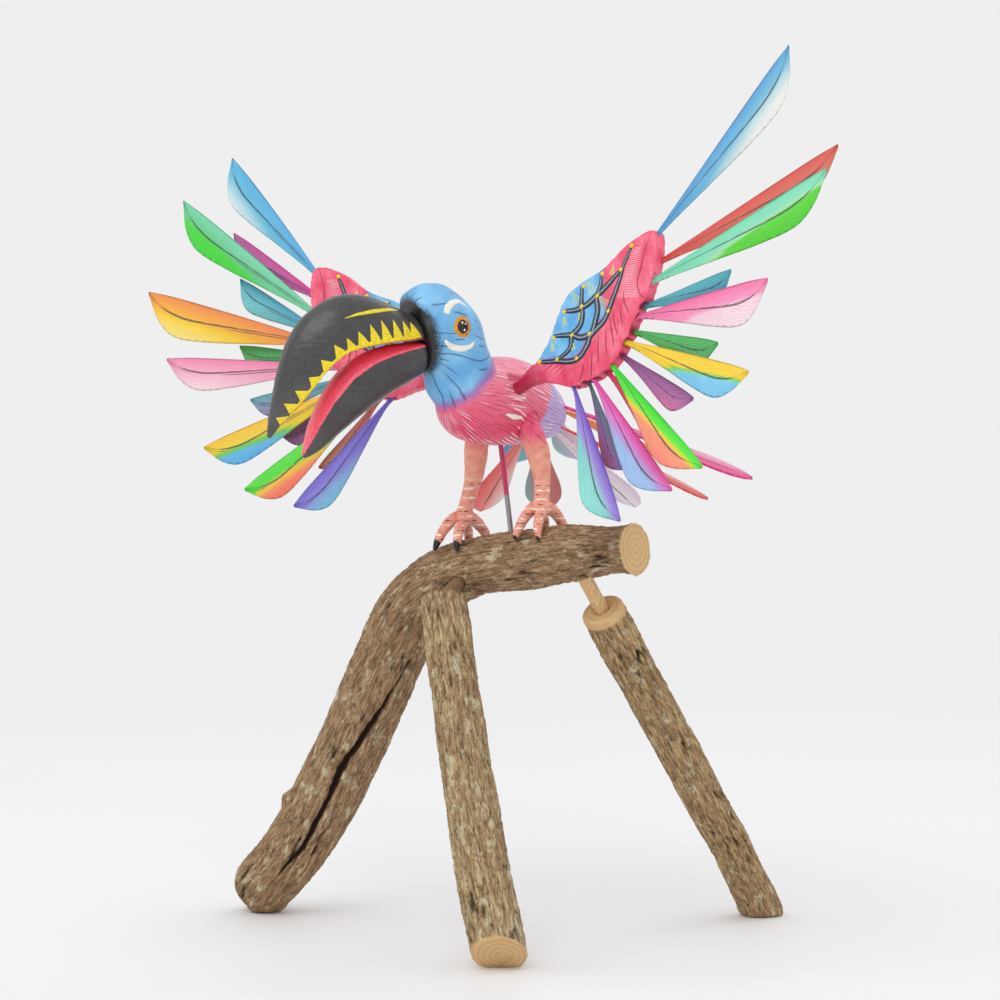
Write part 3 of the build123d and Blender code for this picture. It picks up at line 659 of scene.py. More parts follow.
def line_spot(line, widths, side):
    """A stroke along a line for paint_patch, as wide as widths says along it."""
    def spot(along, across):
        share = (along + 1) / 2 * (len(line) - 1)
        number = min(int(share), len(line) - 2)
        place = line[number].lerp(line[number + 1], share - number)
        heading = (line[number + 1] - line[number]).normalized()
        reach = (along + 1) / 2 * (len(widths) - 1)
        first = min(int(reach), len(widths) - 2)
        width = widths[first] + (widths[first + 1] - widths[first]) * (reach - first)
        return place + heading.cross(side).normalized() * across * width / 2 * MM
    return spot


tooth_yellow = gloss_paint("tooth_yellow", (250, 226, 10), (214, 186, 8))
eye_gold = gloss_paint("eye_gold", (236, 156, 24), (176, 110, 24))
eye_black = gloss_paint("eye_black", (18, 16, 24), (40, 34, 40), 0.2)
brush_white = gloss_paint("brush_white", (250, 246, 232), (232, 228, 214))
body_skin, upper_skin = skin_tree(body_piece), skin_tree(upper_piece)

# Each tooth: where its foot starts and ends along the cutting edge, and its point (ahead, height).
TEETH = [(3, 11, 10, 11.3), (9, 16, 15.4, 12), (16, 23.1, 22.2, 12.7), (23.1, 30.5, 30.3, 12.2),
         (30.5, 38.1, 37.8, 9.5), (38.1, 46, 45.7, 5.2), (46, 52.7, 53.2, 1.1), (52.7, 60, 61, -3),
         (60, 67.2, 69, -12.1), (67.2, 74, 76, -22.5), (74, 80, 83.5, -30.5), (80, 86, 89.5, -38),
         (86, 91, 93.5, -46.5)]
form = bmesh.new()
for side in (1, -1):
    for start, end, tip_ahead, tip_height in TEETH:
        def tooth_spot(along, across):
            rise = (along + 1) / 2
            foot = (start + end) / 2 + across * (end - start) * 0.56
            base = height_on(UPPER_EDGE, foot) + 0.6
            ahead = tip_ahead + (foot - tip_ahead) * (1 - rise ** 1.3)
            return in_head(BEAK_START + ahead, base + (tip_height - base) * rise, 30 * side)
        paint_patch(form, upper_skin, -HEAD_SIDE * side, tooth_spot, 0.35, (10, 6))
    gum = [in_head(BEAK_START + a, height_on(UPPER_EDGE, a) + 1.9, 30 * side) for a in range(4, 90, 4)]
    paint_patch(form, upper_skin, -HEAD_SIDE * side, line_spot(gum, (2.6, 3.4, 3.2, 2.6, 1.6), HEAD_SIDE),
                0.3, (66, 4))
    streak = [in_head(BEAK_START + a, h, 30 * side) for a,
              h in ((15, 18), (23, 18.4), (34, 17.2), (45, 15.2), (54, 12.5))]
    paint_patch(form, upper_skin, -HEAD_SIDE * side, line_spot(streak, (0.4, 2.0, 2.6, 1.8, 0.3),
                                                               HEAD_SIDE), 0.3, (24, 5))
teeth_piece = new_piece("beak_teeth", form, [tooth_yellow])
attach(teeth_piece, "bird")

for side, side_name in ((1, "left"), (-1, "right")):
    look = -HEAD_SIDE * side
    aside = 40 * side
    form = bmesh.new()
    paint_patch(form, body_skin, look, disc_spot(in_head(-5.8, 8.3, aside), HEAD_FORWARD * 6.3 * MM,
                                                 Vector((0, 0, 7.2 * MM))), 0.7, (16, 16), 0.6)
    iris = new_piece(side_name + "_eye_ring", form, [eye_gold])
    form = bmesh.new()
    paint_patch(form, body_skin, look, disc_spot(in_head(-5.8, 8.3, aside), HEAD_FORWARD * 4.3 * MM,
                                                 Vector((0, 0, 5.5 * MM))), 1.3, (14, 14), 0.5)
    pupil = new_piece(side_name + "_pupil", form, [eye_black])
    form = bmesh.new()
    # Three white dots on each pupil are painted highlights, in place of the lamps' glints.
    for ahead, height, size in ((-5.2, 10.6, 0.9), (-7.4, 9.9, 0.7), (-6.6, 6.2, 0.9)):
        paint_patch(form, body_skin, look, disc_spot(in_head(ahead, height, aside),
                                                     HEAD_FORWARD * size * MM,
                                                     Vector((0, 0, size * 1.3 * MM))), 1.75, (6, 6), 0.4)
    brow = [in_head(a, h, aside) for a, h in ((4.8, 15.6), (3.2, 19.8), (-0.8, 22.8), (-6, 23.6),
                                              (-11.4, 20.4))]
    paint_patch(form, body_skin, look, line_spot(eased_line(brow, 5), (4.2, 5, 3.8, 2.4, 0.8), HEAD_SIDE),
                0.35, (24, 5))
    cheek = [in_head(a, h, aside) for a, h in ((6.2, 0.2), (1.2, -3.6), (-5.6, -5.1), (-11.8, -3.4),
                                               (-14.4, -0.3))]
    paint_patch(form, body_skin, look, line_spot(eased_line(cheek, 5), (1.8, 3.8, 4, 3, 1), HEAD_SIDE),
                0.35, (24, 5))
    whites = new_piece(side_name + "_eye_whites_and_highlights", form, [brush_white])
    for piece in (iris, pupil, whites):
        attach(piece, "bird")


form = bmesh.new()
for side in (1, -1):
    for stroke, width in ((((-27, 328.4), (-18, 326.4), (-9, 325.8)), 3.6),
                          (((-28, 344), (-17, 342), (-7, 340)), 0.9),
                          (((-30, 340), (-18, 338.4), (-8, 337)), 0.8),
                          (((-28, 334.5), (-16, 333), (-7, 332)), 0.8)):
        run = [at(40 * side, y, z) for y, z in stroke]
        paint_patch(form, body_skin, Vector((-side, 0, 0)),
                    line_spot(run, (0.3 * width, width, 0.4 * width), Vector((side, 0, 0))), 0.25,
                    (18, 4), 0.25)
flank_piece = new_piece("flank_strokes", form, [brush_white])
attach(flank_piece, "bird")


# ---- bird: legs ---------------------------------------------------------------------------------
# Two carved legs with four toes each, painted peach over a pink tuft, with white and dark marks at
# the ankles and on the toes, and black claws. They are glued into the trunk and stand on the perch.
TUFT_EDGE = (0.311, 0.325)              # heights in metres between which the peach turns to fur
MARKS_EDGE = (0.289, 0.283)             # below this the legs carry white and dark marks
MARKS_PITCH = 1100.0                    # radians of the marks' wave in a metre of height
FUR_STROKES = (2.3, 0.17, 0.45, 0.0)
FOOT_HEIGHTS = {"left": 237, "right": 231}
CLAW_SWEEP, CLAW_BLEND = 41, 8          # where the claws start round the perch, in degrees


def leg_finish():
    finish, tree, shader = new_finish("leg_paint", 0.5)
    where = object_place(tree)
    height = add_node(tree, "ShaderNodeSeparateXYZ", {0: where}).outputs[2]
    cloud = speckle(tree, where, 220.0, 3)
    claw = carried(tree, "claw", "Fac")
    colour = blend_colour(tree, fade(tree, cloud, 0.35, 0.7), srgb(240, 170, 146), srgb(228, 144, 122))
    tuft = plus(tree, height, times(tree, speckle(tree, stretched(tree, where, (900, 900, 90)), 1.0, 2),
                                    0.014))
    hair = carried(tree, "hair_place", "Vector")
    furry = blend_colour(tree, fade(tree, cloud, 0.4, 0.6), srgb(231, 72, 112), srgb(238, 100, 134))
    furry = blend_colour(tree, times(tree, hair_lines(tree, hair, *FUR_STROKES), 0.66), furry,
                         srgb(130, 34, 74))
    colour = blend_colour(tree, fade(tree, tuft, *TUFT_EDGE), colour, furry)
    bands = math_node(tree, "SINE", times(tree, height, MARKS_PITCH))
    marks = speckle(tree, stretched(tree, where, (260, 260, 700)), 1.0, 1)
    low = fade(tree, height, *MARKS_EDGE)
    white = times(tree, times(tree, fade(tree, bands, 0.55, 0.9), low), fade(tree, marks, 0.46, 0.56))
    colour = blend_colour(tree, white, colour, srgb(250, 240, 226))
    ink = times(tree, times(tree, fade(tree, bands, -0.88, -0.99), low), fade(tree, marks, 0.5, 0.58))
    colour = blend_colour(tree, ink, colour, srgb(40, 30, 34))
    colour = blend_colour(tree, fade(tree, claw, 0.4, 0.6), colour, srgb(24, 22, 26))
    tree.links.new(colour, shader.inputs["Base Color"])
    raise_grain(tree, shader, cloud, 0.0003, 0.5)
    return finish


leg_paint = leg_finish()
for side, side_name in ((1, "left"), (-1, "right")):
    form = sculpting_copy(side_name + "_leg", [side_name + "_leg"], 0.6, 2)
    claw_layer = form.verts.layers.float.new("claw")
    hair_layer = form.verts.layers.float_vector.new("hair_place")
    foot = at(30 * side, 0, FOOT_HEIGHTS[side_name]) / MM
    for vertex in form.verts:
        vertex[hair_layer] = hair_place(vertex.co)
        away = vertex.co / MM - foot
        sweep = math.degrees(math.atan2(abs(away.y), max(away.z, 0.01)))
        vertex[claw_layer] = min(max((sweep - CLAW_SWEEP) / CLAW_BLEND, 0), 1)
        vertex.co += vertex.normal * noise.noise(vertex.co * 180) * 0.35 * MM
    piece = new_piece(side_name + "_leg_carving", form, [leg_paint])
    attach(piece, "bird")
    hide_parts(side_name + "_leg")


# ---- bird: mounting rod -------------------------------------------------------------------------
# A steel wire from the belly into the perch. Its top was painted over with the body's pink, and
# below that the bare metal shows.
ROD_PAINT_EDGE = (0.2835, 0.286)        # heights in metres between which the steel turns pink


def rod_finish():
    finish, tree, shader = new_finish("rod_steel", 0.3, Metallic=0.0)
    where = object_place(tree)
    height = add_node(tree, "ShaderNodeSeparateXYZ", {0: where}).outputs[2]
    drips = plus(tree, height, times(tree, speckle(tree, where, 400.0), 0.012))
    painted = fade(tree, drips, *ROD_PAINT_EDGE)
    steel = blend_colour(tree, speckle(tree, where, 900.0), srgb(120, 122, 124), srgb(178, 180, 182))
    tree.links.new(blend_colour(tree, painted, steel, srgb(196, 52, 104)), shader.inputs["Base Color"])
    tree.links.new(minus(tree, 1.0, painted), shader.inputs["Metallic"])
    return finish


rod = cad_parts["mounting_rod"]
rod.data.materials.clear()
rod.data.materials.append(rod_finish())


# ---- wings: plates ------------------------------------------------------------------------------
# Each wing is a flat carved plate with a scalloped trailing edge, pink to crimson, with blue scales
# outlined in black and grey near the leading edge. Painted shade darkens its notches and folds to deep
# crimson. It plugs on to a tab in the body.
SHOULDER = (26.5, -14.5, 347)
WING_SWEEP, WING_LEAN = math.radians(8), math.radians(12)
WING_RISE = {"left": math.radians(42), "right": math.radians(32)}
WING_SIDE = {"left": 1, "right": -1}


def wing_axes(wing):
    """Along the plate, towards its trailing edge, and out of its front face."""
    side, rise = WING_SIDE[wing], WING_RISE[wing]
    span = Vector((side * math.cos(WING_SWEEP), -math.sin(WING_SWEEP), 0))
    back = Vector((side * math.sin(WING_SWEEP), math.cos(WING_SWEEP), 0))
    up = back * math.sin(WING_LEAN) + Vector((0, 0, math.cos(WING_LEAN)))
    along = span * math.cos(rise) + up * math.sin(rise)
    trailing = span * math.sin(rise) - up * math.cos(rise)
    return along, trailing, trailing.cross(along) * side


def on_wing(wing, s, t, out=0):
    along, trailing, front = wing_axes(wing)
    shoulder = at(SHOULDER[0] * WING_SIDE[wing], *SHOULDER[1:])
    return shoulder + (along * s + trailing * t + front * out) * MM


def plate_finish():
    finish, tree, shader = new_finish("wing_paint", 0.42, Coat_Weight=0.1, Coat_Roughness=0.3)
    place = carried(tree, "plate_place", "Vector")
    blue = carried(tree, "scales", "Fac")
    split = add_node(tree, "ShaderNodeSeparateXYZ", {0: place}).outputs
    cloud = speckle(tree, place, 0.09, 4)
    pink = blend_colour(tree, fade(tree, cloud, 0.3, 0.7), srgb(232, 60, 98), srgb(246, 112, 140))
    pink = blend_colour(tree, fade(tree, split[0], 24, 0), pink, srgb(176, 20, 62))
    # Thin broken dark crimson lines in the grooves of the creases' bump: painted shade in the creases.
    creases = plus(tree, times(tree, split[0], 0.62), times(tree, split[1], 0.25))
    lines = math_node(tree, "ABSOLUTE", math_node(tree, "SINE", plus(tree, creases,
                                                                     times(tree, cloud, 3.0))))
    broken = speckle(tree, place, 0.25, 2)
    fine = times(tree, fade(tree, lines, 0.16, 0.03), fade(tree, broken, 0.42, 0.55))
    pink = blend_colour(tree, times(tree, fine, 0.6), pink, srgb(120, 24, 52))
    sky = blend_colour(tree, fade(tree, cloud, 0.35, 0.75), srgb(84, 168, 226), srgb(142, 206, 242))
    ragged = plus(tree, blue, times(tree, minus(tree, cloud, 0.5), 0.5))
    scales = blend_colour(tree, fade(tree, ragged, 0.55, 0.2), sky, srgb(158, 108, 178))
    colour = blend_colour(tree, fade(tree, blue, 0.05, 0.25), pink, scales)
    # Painted shade: the plate's edge faces darken to deep crimson in the notches where the feathers go in.
    notch_shade = carried(tree, "notch_shade", "Fac")
    colour = blend_colour(tree, times(tree, fade(tree, notch_shade, 0.12, 0.6), 0.85), colour, srgb(128, 14, 48))
    tree.links.new(colour, shader.inputs["Base Color"])
    raise_grain(tree, shader, plus(tree, lines, broken), 0.0002, 0.4)
    return finish


# Scales: the outline of the blue part and the ink lines over it, as places on the plate (s, t).
SCALE_BORDER = [(115.1, -11.7), (102.5, -5.2), (95.3, 0.2), (88.8, 4.4), (83.5, 7.5), (77.3, 11.4),
                (71.4, 14.2),
                (61.2, 14.4), (57.5, 15.2), (54.9, 17.5), (48.9, 20.1), (43.3, 20.1), (37.3, 16.6),
                (30.4, 9.8),
                (23.9, 4.6), (18.5, 0.0)]
SCALE_LINES = [SCALE_BORDER,
               [(98.7, -3.7), (92.5, -3.5), (85.4, -2.9), (78.7, -3.1), (74.3, -3.2), (67.7, -3.6),
                (62.9, -5.1),
                (56.8, -8.2), (49.7, -14.4)],
               [(86.3, -14.2), (82.5, -7.8), (76.9, -3.8), (74.3, -1.1), (71.8, 4.7), (67.5, 8.9),
                (61.8, 13.2),
                (58.8, 13.5), (54.0, 11.6), (51.1, 8.9), (48.1, 4.4), (42.1, -0.9), (35.0, -6.7)],
               [(71.0, -17.7), (67.6, -12.5), (63.2, -5.9), (61.1, -1.1), (56.9, 3.1), (52.7, 4.3),
                (48.1, 4.4),
                (43.9, 9.5), (38.6, 10.7), (30.9, 9.1)]]
GOLD_DOTS = [(112.5, -10.9), (98.7, -3.7), (86.3, -11.9), (71.0, -15.7), (76.0, -2.9), (63.3, -5.7),
             (77.5, 11.3),
             (48.1, 4.4), (59.0, 13.1), (51.1, -12.5), (35.8, -4.4), (30.9, 9.1), (43.5, 19.7), (19.4, 0.5)]
FAN_STROKES = [((73.6, -17.1), (75.8, -5.8)), ((61.5, -19.8), (62.9, -8.7)), ((49.6, -10.7), (46.6, -4.4)),
               ((76.9, -2.8), (77.9, 8.4)), ((95.7, -10.6), (90.8, -6.1)), ((33.3, -3.4), (30.9, 2.6)),
               ((46.6, 8.8), (43.8, 13.4)), ((60.5, -4.5), (57.5, 1))]


def border_side(s, t):
    """How far a place is inside the blue part, from 0 to 1."""
    line = [Vector((a, b, 0)) for a, b in SCALE_BORDER[5:]] + [Vector((14, -4, 0))]
    line = [Vector((93, -20, 0)), Vector((86, -8, 0)), Vector((80, 0, 0))] + line
    here = Vector((s, t, 0))
    nearest, side = 1e9, 0
    for a, b in zip(line, line[1:]):
        run = b - a
        share = min(max((here - a).dot(run) / run.length_squared, 0), 1)
        gap = here - a - run * share
        if gap.length < nearest:
            nearest = gap.length
            side = run.x * gap.y - run.y * gap.x
    return min(max(0.15 + nearest / 11, 0), 1) if side > 0 else 0


# Dark crimson strokes along the folds in the pink part, painted shade in the folds, the first of them the
# crimson line painted near the tip; then the white strokes beside the scales and those at the wing's root.
FOLD_LINES = [[(126.6, -6.8), (123.3, -3.8), (118.1, -0.6), (113.1, 4.8), (105.9, 10.2), (103.1, 13.8),
               (101.8, 20.6), (103.3, 26.1)],
              [(77.0, 14.6), (73, 24), (69, 34)], [(64.7, 18), (59, 26), (54, 35)],
              [(46.5, 25.9), (42, 30), (36.9, 34)],
              [(87.2, 14), (84, 20), (80.9, 28.4)], [(71, 19), (65, 28), (62, 36)],
              [(55, 24), (50, 31), (46, 37)],
              [(94, 8), (90, 15), (89, 24)], [(81, 12), (78, 20), (75, 30)]]
HAIR_SPOTS = ((112, -9, 119, -4), (108, -7, 116, -1), (103, -3, 112, 4), (99, 0, 108, 8), (95, 3, 104, 12),
              (90, 6, 102, 17), (86, 9, 101, 22))
ROOT_HAIRS = ((24.7, 7.1, 18, 6.6), (27.5, 10.6, 20.5, 10.2), (30.6, 14.5, 22, 13), (33, 17, 24, 17))


def white_hairs():
    """Fine white strokes, in fans beside the scales and in a comb at the wing's root."""
    strokes = [((a, b), (c, d)) for a, b, c, d in ROOT_HAIRS]
    for (a, b, c, d), (e, f, g, h) in zip(HAIR_SPOTS, HAIR_SPOTS[1:]):
        for step in range(5):
            share = step / 5
            strokes.append(((a + (e - a) * share, b + (f - b) * share),
                            (c + (g - c) * share, d + (h - d) * share)))
    return strokes


# Where the feathers go into the plate's edge: its end, then round the trailing side to the root.
STEM_PLACES = [(125, -3), (117, 8), (108, 17), (99, 25), (92, 29), (84, 33), (77, 36), (69, 39),
               (61, 39), (55, 40), (46, 40), (40, 37), (31, 33)]
wing_paint = plate_finish()
hair_white = gloss_paint("hair_white", (250, 226, 232), (238, 200, 210))
fold_shade_crimson = gloss_paint("fold_shade_crimson", (138, 14, 48), (170, 24, 60))
tab_pink = gloss_paint("tab_pink", (232, 74, 112), (206, 44, 88))
scale_ink = gloss_paint("scale_ink", (20, 24, 44), (40, 46, 70), 0.35)
scale_grey = gloss_paint("scale_grey", (116, 146, 158), (170, 186, 192), 0.35)
dot_gold = gloss_paint("dot_gold", (255, 224, 6), (240, 190, 10), 0.35)
fan_yellow = gloss_paint("fan_yellow", (226, 226, 120), (200, 208, 90))
for wing in ("left", "right"):
    along, trailing, front = wing_axes(wing)
    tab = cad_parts[wing + "_wing_tab"]
    tab.data.materials.clear()
    tab.data.materials.append(tab_pink)
    form = sculpting_copy(wing + "_wing", [wing + "_wing"], 1.0, 2)
    place_layer = form.verts.layers.float_vector.new("plate_place")
    scale_layer = form.verts.layers.float.new("scales")
    notch_shade_layer = form.verts.layers.float.new("notch_shade")
    origin = on_wing(wing, 0, 0)
    for vertex in form.verts:
        offset = (vertex.co - origin) / MM
        s, t, out = offset.dot(along), offset.dot(trailing), offset.dot(front)
        vertex[place_layer] = Vector((s, t, out))
        vertex[scale_layer] = border_side(s, t)
        swell = noise.fractal(Vector((s * 0.05, t * 0.05, out * 0.05)), 1, 2, 3) * 0.5
        near = min(math.hypot(s - a, t - b) for a, b in STEM_PLACES)
        # The painted shade's mask: near a feather's notch, on the plate's edge faces.
        vertex[notch_shade_layer] = math.exp(-(near / 3.8) ** 2) * (1 - abs(vertex.normal.dot(front)))
        in_plane = vertex.normal - front * vertex.normal.dot(front)
        vertex.co += (vertex.normal * swell - in_plane * (0.8 + 3.2 * math.exp(-(near / 4.6) ** 2))) * MM
    plate = new_piece(wing + "_wing_carving", form, [wing_paint])
    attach(plate, wing + "_wing")
    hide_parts(wing + "_wing")
    skin = skin_tree(plate)
    ink, grey, gold, fans = bmesh.new(), bmesh.new(), bmesh.new(), bmesh.new()
    hairs, fold_shade = bmesh.new(), bmesh.new()
    for face in (1, -1):
        look = -front * face
        for start, end in white_hairs():
            run = [on_wing(wing, *start, 12 * face), on_wing(wing, *end, 12 * face)]
            paint_patch(hairs, skin, look, line_spot(run, (0.2, 0.36, 0.15), front), 0.14, (10, 2), 0.15)
        # Painted shade: thin dark crimson strokes laid along the folds, the first of them the painted
        # crimson line.
        for line in FOLD_LINES:
            run = eased_line([on_wing(wing, s, t, 12 * face) for s, t in line], 5)
            paint_patch(fold_shade, skin, look, line_spot(run, (0.5, 1.2, 0.6), front), 0.16, (len(run), 2), 0.2)
        for line in SCALE_LINES:
            run = eased_line([on_wing(wing, s, t, 12 * face) for s, t in line], 4)
            count = len(run)
            paint_patch(ink, skin, look, line_spot(run, (3.4, 4.8, 5.4, 4.8, 3.4), front), 0.3,
                        (count * 2, 4))
            paint_patch(grey, skin, look, line_spot(run, (0.8, 1.3, 1.6, 1.3, 0.8), front), 0.55,
                        (count * 2, 4))
        for s, t in GOLD_DOTS:
            paint_patch(gold, skin, look, disc_spot(on_wing(wing, s, t, 12 * face), along * 1.7 * MM,
                                                    trailing * 1.5 * MM), 1.1, (6, 6), 0.5)
        for start, end in FAN_STROKES:
            for spread in (-0.3, -0.1, 0.1, 0.3):
                first = on_wing(wing, *start, 12 * face)
                last = on_wing(wing, *end, 12 * face)
                last = first + Matrix.Rotation(spread, 3, front) @ (last - first)
                paint_patch(fans, skin, look, line_spot([first, last], (0.25, 0.7), front), 0.2, (6, 3),
                            0.2)
    for label, made, finish in (("ink", ink, scale_ink), ("grey", grey, scale_grey),
                                ("dots", gold, dot_gold),
                                ("fans", fans, fan_yellow), ("hairs", hairs, hair_white),
                                ("fold_shade", fold_shade, fold_shade_crimson)):
        piece = new_piece(f"{wing}_scale_{label}", made, [finish])
        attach(piece, wing + "_wing")


# ---- wings: feathers ----------------------------------------------------------------------------
# Thirteen thin wooden blades in each wing, in two rows, each whittled to a stem that is glued into
# the plate's edge. Every blade is painted in bands, with a dark quill and fine inked barbs.
BLADE_THICK = 1.4
QUILL_RISE = 0.4
STEM_RADIUS = 1.15
STEM_IN_PLATE = 6
BLADE_CUP = 1.2
BARBS_PER_MM = 0.19
ROW_OFFSET = 1.8
BACK_ROW_LEAN = math.radians(4)
# Length, angle from the plate's length, blade width, roll, slot and the paint bands from the
# leading edge to the trailing one: share of the way across, and colour.
LEFT_FEATHERS = [
    (142, -12, 23, 0, "blue", [(0.0, (64, 152, 212)), (0.4, (104, 184, 220)), (0.58, (176, 216, 222)),
                               (0.85, (236, 236, 232))]),
    (138, 11, 20, 0, "coral", [(0, (222, 60, 50)), (0.45, (228, 104, 84)), (0.7, (206, 130, 110)),
                               (1, (170, 150, 130))]),
    (140, 14, 22, 0, "green", [(0, (110, 220, 176)), (0.33, (130, 224, 184)), (0.43, (170, 226, 170)),
                               (0.5, (80, 214, 20)), (1, (70, 204, 0))]),
    (62, 21, 15, 0, "teal", [(0, (70, 180, 190)), (1, (44, 128, 164))]),
    (98, 29, 24, 0, "pink", [(0, (246, 96, 158)), (0.4, (250, 146, 190)), (0.5, (248, 206, 218)),
                             (1, (250, 222, 228))]),
    (62, 47, 15, 0, "green", [(0, (60, 184, 80)), (0.6, (70, 170, 90)), (1, (120, 200, 160))]),
    (99, 52, 20, 0, "gold", [(0, (252, 208, 0)), (0.4, (250, 210, 0)), (0.46, (110, 214, 10)),
                             (0.53, (120, 214, 190)), (0.6, (120, 200, 240))]),
    (61, 65, 14, 0, "mauve", [(0, (130, 60, 130)), (0.5, (176, 96, 160)), (1, (206, 110, 160))]),
    (103, 78, 19, 35, "green", [(0, (0, 224, 0)), (0.3, (90, 236, 30)), (0.42, (246, 206, 10)),
                                (0.52, (248, 150, 110)), (1, (246, 130, 104))]),
    (66, 76, 13, 0, "coral", [(0, (236, 40, 90)), (1, (200, 60, 90))]),
    (97, 83, 19, 35, "magenta", [(0, (248, 60, 176)), (0.25, (226, 110, 196)), (0.45, (184, 150, 220)),
                                 (0.62, (150, 190, 236))]),
    (59, 98, 13, 0, "mauve", [(0, (60, 110, 120)), (0.5, (140, 80, 150)), (1, (150, 50, 80))]),
    (94, 98, 19, 35, "violet", [(0, (120, 84, 204)), (0.3, (158, 140, 220)), (0.48, (130, 210, 206)),
                                (1, (140, 226, 214))])]
RIGHT_FEATHERS = [
    (112, -15, 20, 0, "blue", [(0, (74, 170, 222)), (0.5, (90, 186, 216)), (1, (214, 232, 236))]),
    (90, 0, 15, 0, "magenta", [(0, (210, 40, 140)), (1, (190, 150, 210))]),
    (140, -3, 20, 0, "green", [(0, (120, 214, 170)), (0.4, (96, 200, 140)), (0.6, (50, 212, 30)),
                               (1, (30, 214, 20))]),
    (84, 3, 15, 0, "teal", [(0, (60, 160, 190)), (1, (110, 206, 206))]),
    (146, 17, 24, 0, "gold", [(0, (240, 130, 60)), (0.4, (246, 170, 30)), (0.6, (250, 206, 10)),
                              (1, (250, 226, 120))]),
    (77, 24, 14, 0, "green", [(0, (40, 160, 90)), (1, (80, 200, 90))]),
    (130, 29, 20, 0, "pink", [(0, (240, 120, 166)), (0.5, (246, 170, 196)), (1, (252, 214, 222))]),
    (74, 41, 14, 0, "teal", [(0, (60, 170, 176)), (1, (150, 130, 180))]),
    (113, 53, 21, 0, "gold", [(0, (246, 190, 10)), (0.45, (236, 206, 20)), (0.58, (100, 200, 50)),
                              (0.75, (90, 180, 230)), (1, (80, 170, 230))]),
    (64, 56, 14, 0, "mauve", [(0, (90, 40, 96)), (1, (140, 70, 130))]),
    (102, 67, 21, 0, "green", [(0, (80, 224, 30)), (0.4, (60, 216, 20)), (0.55, (240, 200, 30)),
                               (0.75, (248, 130, 90)), (1, (244, 110, 80))]),
    (59, 77, 13, 0, "coral", [(0, (190, 60, 46)), (1, (200, 170, 160))]),
    (91, 79, 20, 0, "violet", [(0, (100, 80, 196)), (0.45, (130, 120, 214)), (0.7, (130, 170, 220)),
                               (1, (110, 190, 220))])]


def eased_value(points, x):
    """A smooth curve through (x, y) points."""
    for number in range(len(points) - 1):
        (x0, y0), (x1, y1) = points[number], points[number + 1]
        if x <= x1 or number == len(points) - 2:
            before = points[max(number - 1, 0)]
            after = points[min(number + 2, len(points) - 1)]
            slope_0 = (y1 - before[1]) / (x1 - before[0])
            slope_1 = (after[1] - y0) / (after[0] - x0)
            run = x1 - x0
            t = min(max((x - x0) / run, 0), 1)
            return ((2 * t ** 3 - 3 * t * t + 1) * y0 + (t ** 3 - 2 * t * t + t) * run * slope_0
                    + (3 * t * t - 2 * t ** 3) * y1 + (t ** 3 - t * t) * run * slope_1)
    return points[-1][1]


def feather_finish(name, bands, barbs, slant):
    """Paint bands across a blade, under inked barbs and a dark quill line."""
    finish, tree, shader = new_finish(name, 0.45, Coat_Weight=0.08, Coat_Roughness=0.35)
    place = add_node(tree, "ShaderNodeUVMap", {}, uv_map="blade").outputs[0]
    split = add_node(tree, "ShaderNodeSeparateXYZ", {0: place}).outputs
    wood = object_place(tree)
    band = carried(tree, "band", "Fac")
    streaks = speckle(tree, stretched(tree, place, (5, 46, 1)), 1.0, 4, 0.6)
    shift = times(tree, minus(tree, streaks, 0.5), 0.12)
    across = plus(tree, band, shift)
    across = plus(tree, across, times(tree, minus(tree, split[0], 0.6), slant))
    ramp = add_node(tree, "ShaderNodeValToRGB", {0: across})
    stops = ramp.color_ramp.elements
    stops[0].position, stops[0].color = bands[0][0], srgb(*bands[0][1])
    stops[1].position, stops[1].color = bands[-1][0], srgb(*bands[-1][1])
    for share, colour in bands[1:-1]:
        stops.new(share).color = srgb(*colour)
    wander = speckle(tree, stretched(tree, place, (7, 0.3, 1)), 1.0, 2)
    middle = plus(tree, split[1], times(tree, minus(tree, wander, 0.5), 0.10))
    off_quill = math_node(tree, "ABSOLUTE", minus(tree, middle, 0.5))
    lines = times(tree, minus(tree, split[0], times(tree, off_quill, 0.75)), barbs)
    lines = plus(tree, lines, times(tree, speckle(tree, place, 5.0, 1), 1.3))
    saw = math_node(tree, "FRACT", lines)
    barb = times(tree, fade(tree, saw, 0.17, 0.05),
                 fade(tree, speckle(tree, stretched(tree, place, (8, 5, 1)), 1.0, 2), 0.3, 0.5))
    colour = blend_colour(tree, times(tree, barb, 0.55), ramp.outputs[0], srgb(60, 64, 80))
    pale = fade(tree, math_node(tree, "FRACT", plus(tree, lines, 0.5)), 0.14, 0.03)
    colour = blend_colour(tree, times(tree, pale, 0.25), colour, srgb(250, 250, 250))
    quill = times(tree, fade(tree, off_quill, 0.042, 0.018), fade(tree, wander, 0.2, 0.5))
    colour = blend_colour(tree, times(tree, quill, 0.8), colour, srgb(44, 44, 60))
    tree.links.new(colour, shader.inputs["Base Color"])
    raise_grain(tree, shader, plus(tree, saw, speckle(tree, wood, 1200.0)), 0.00018, 0.5)
    return finish


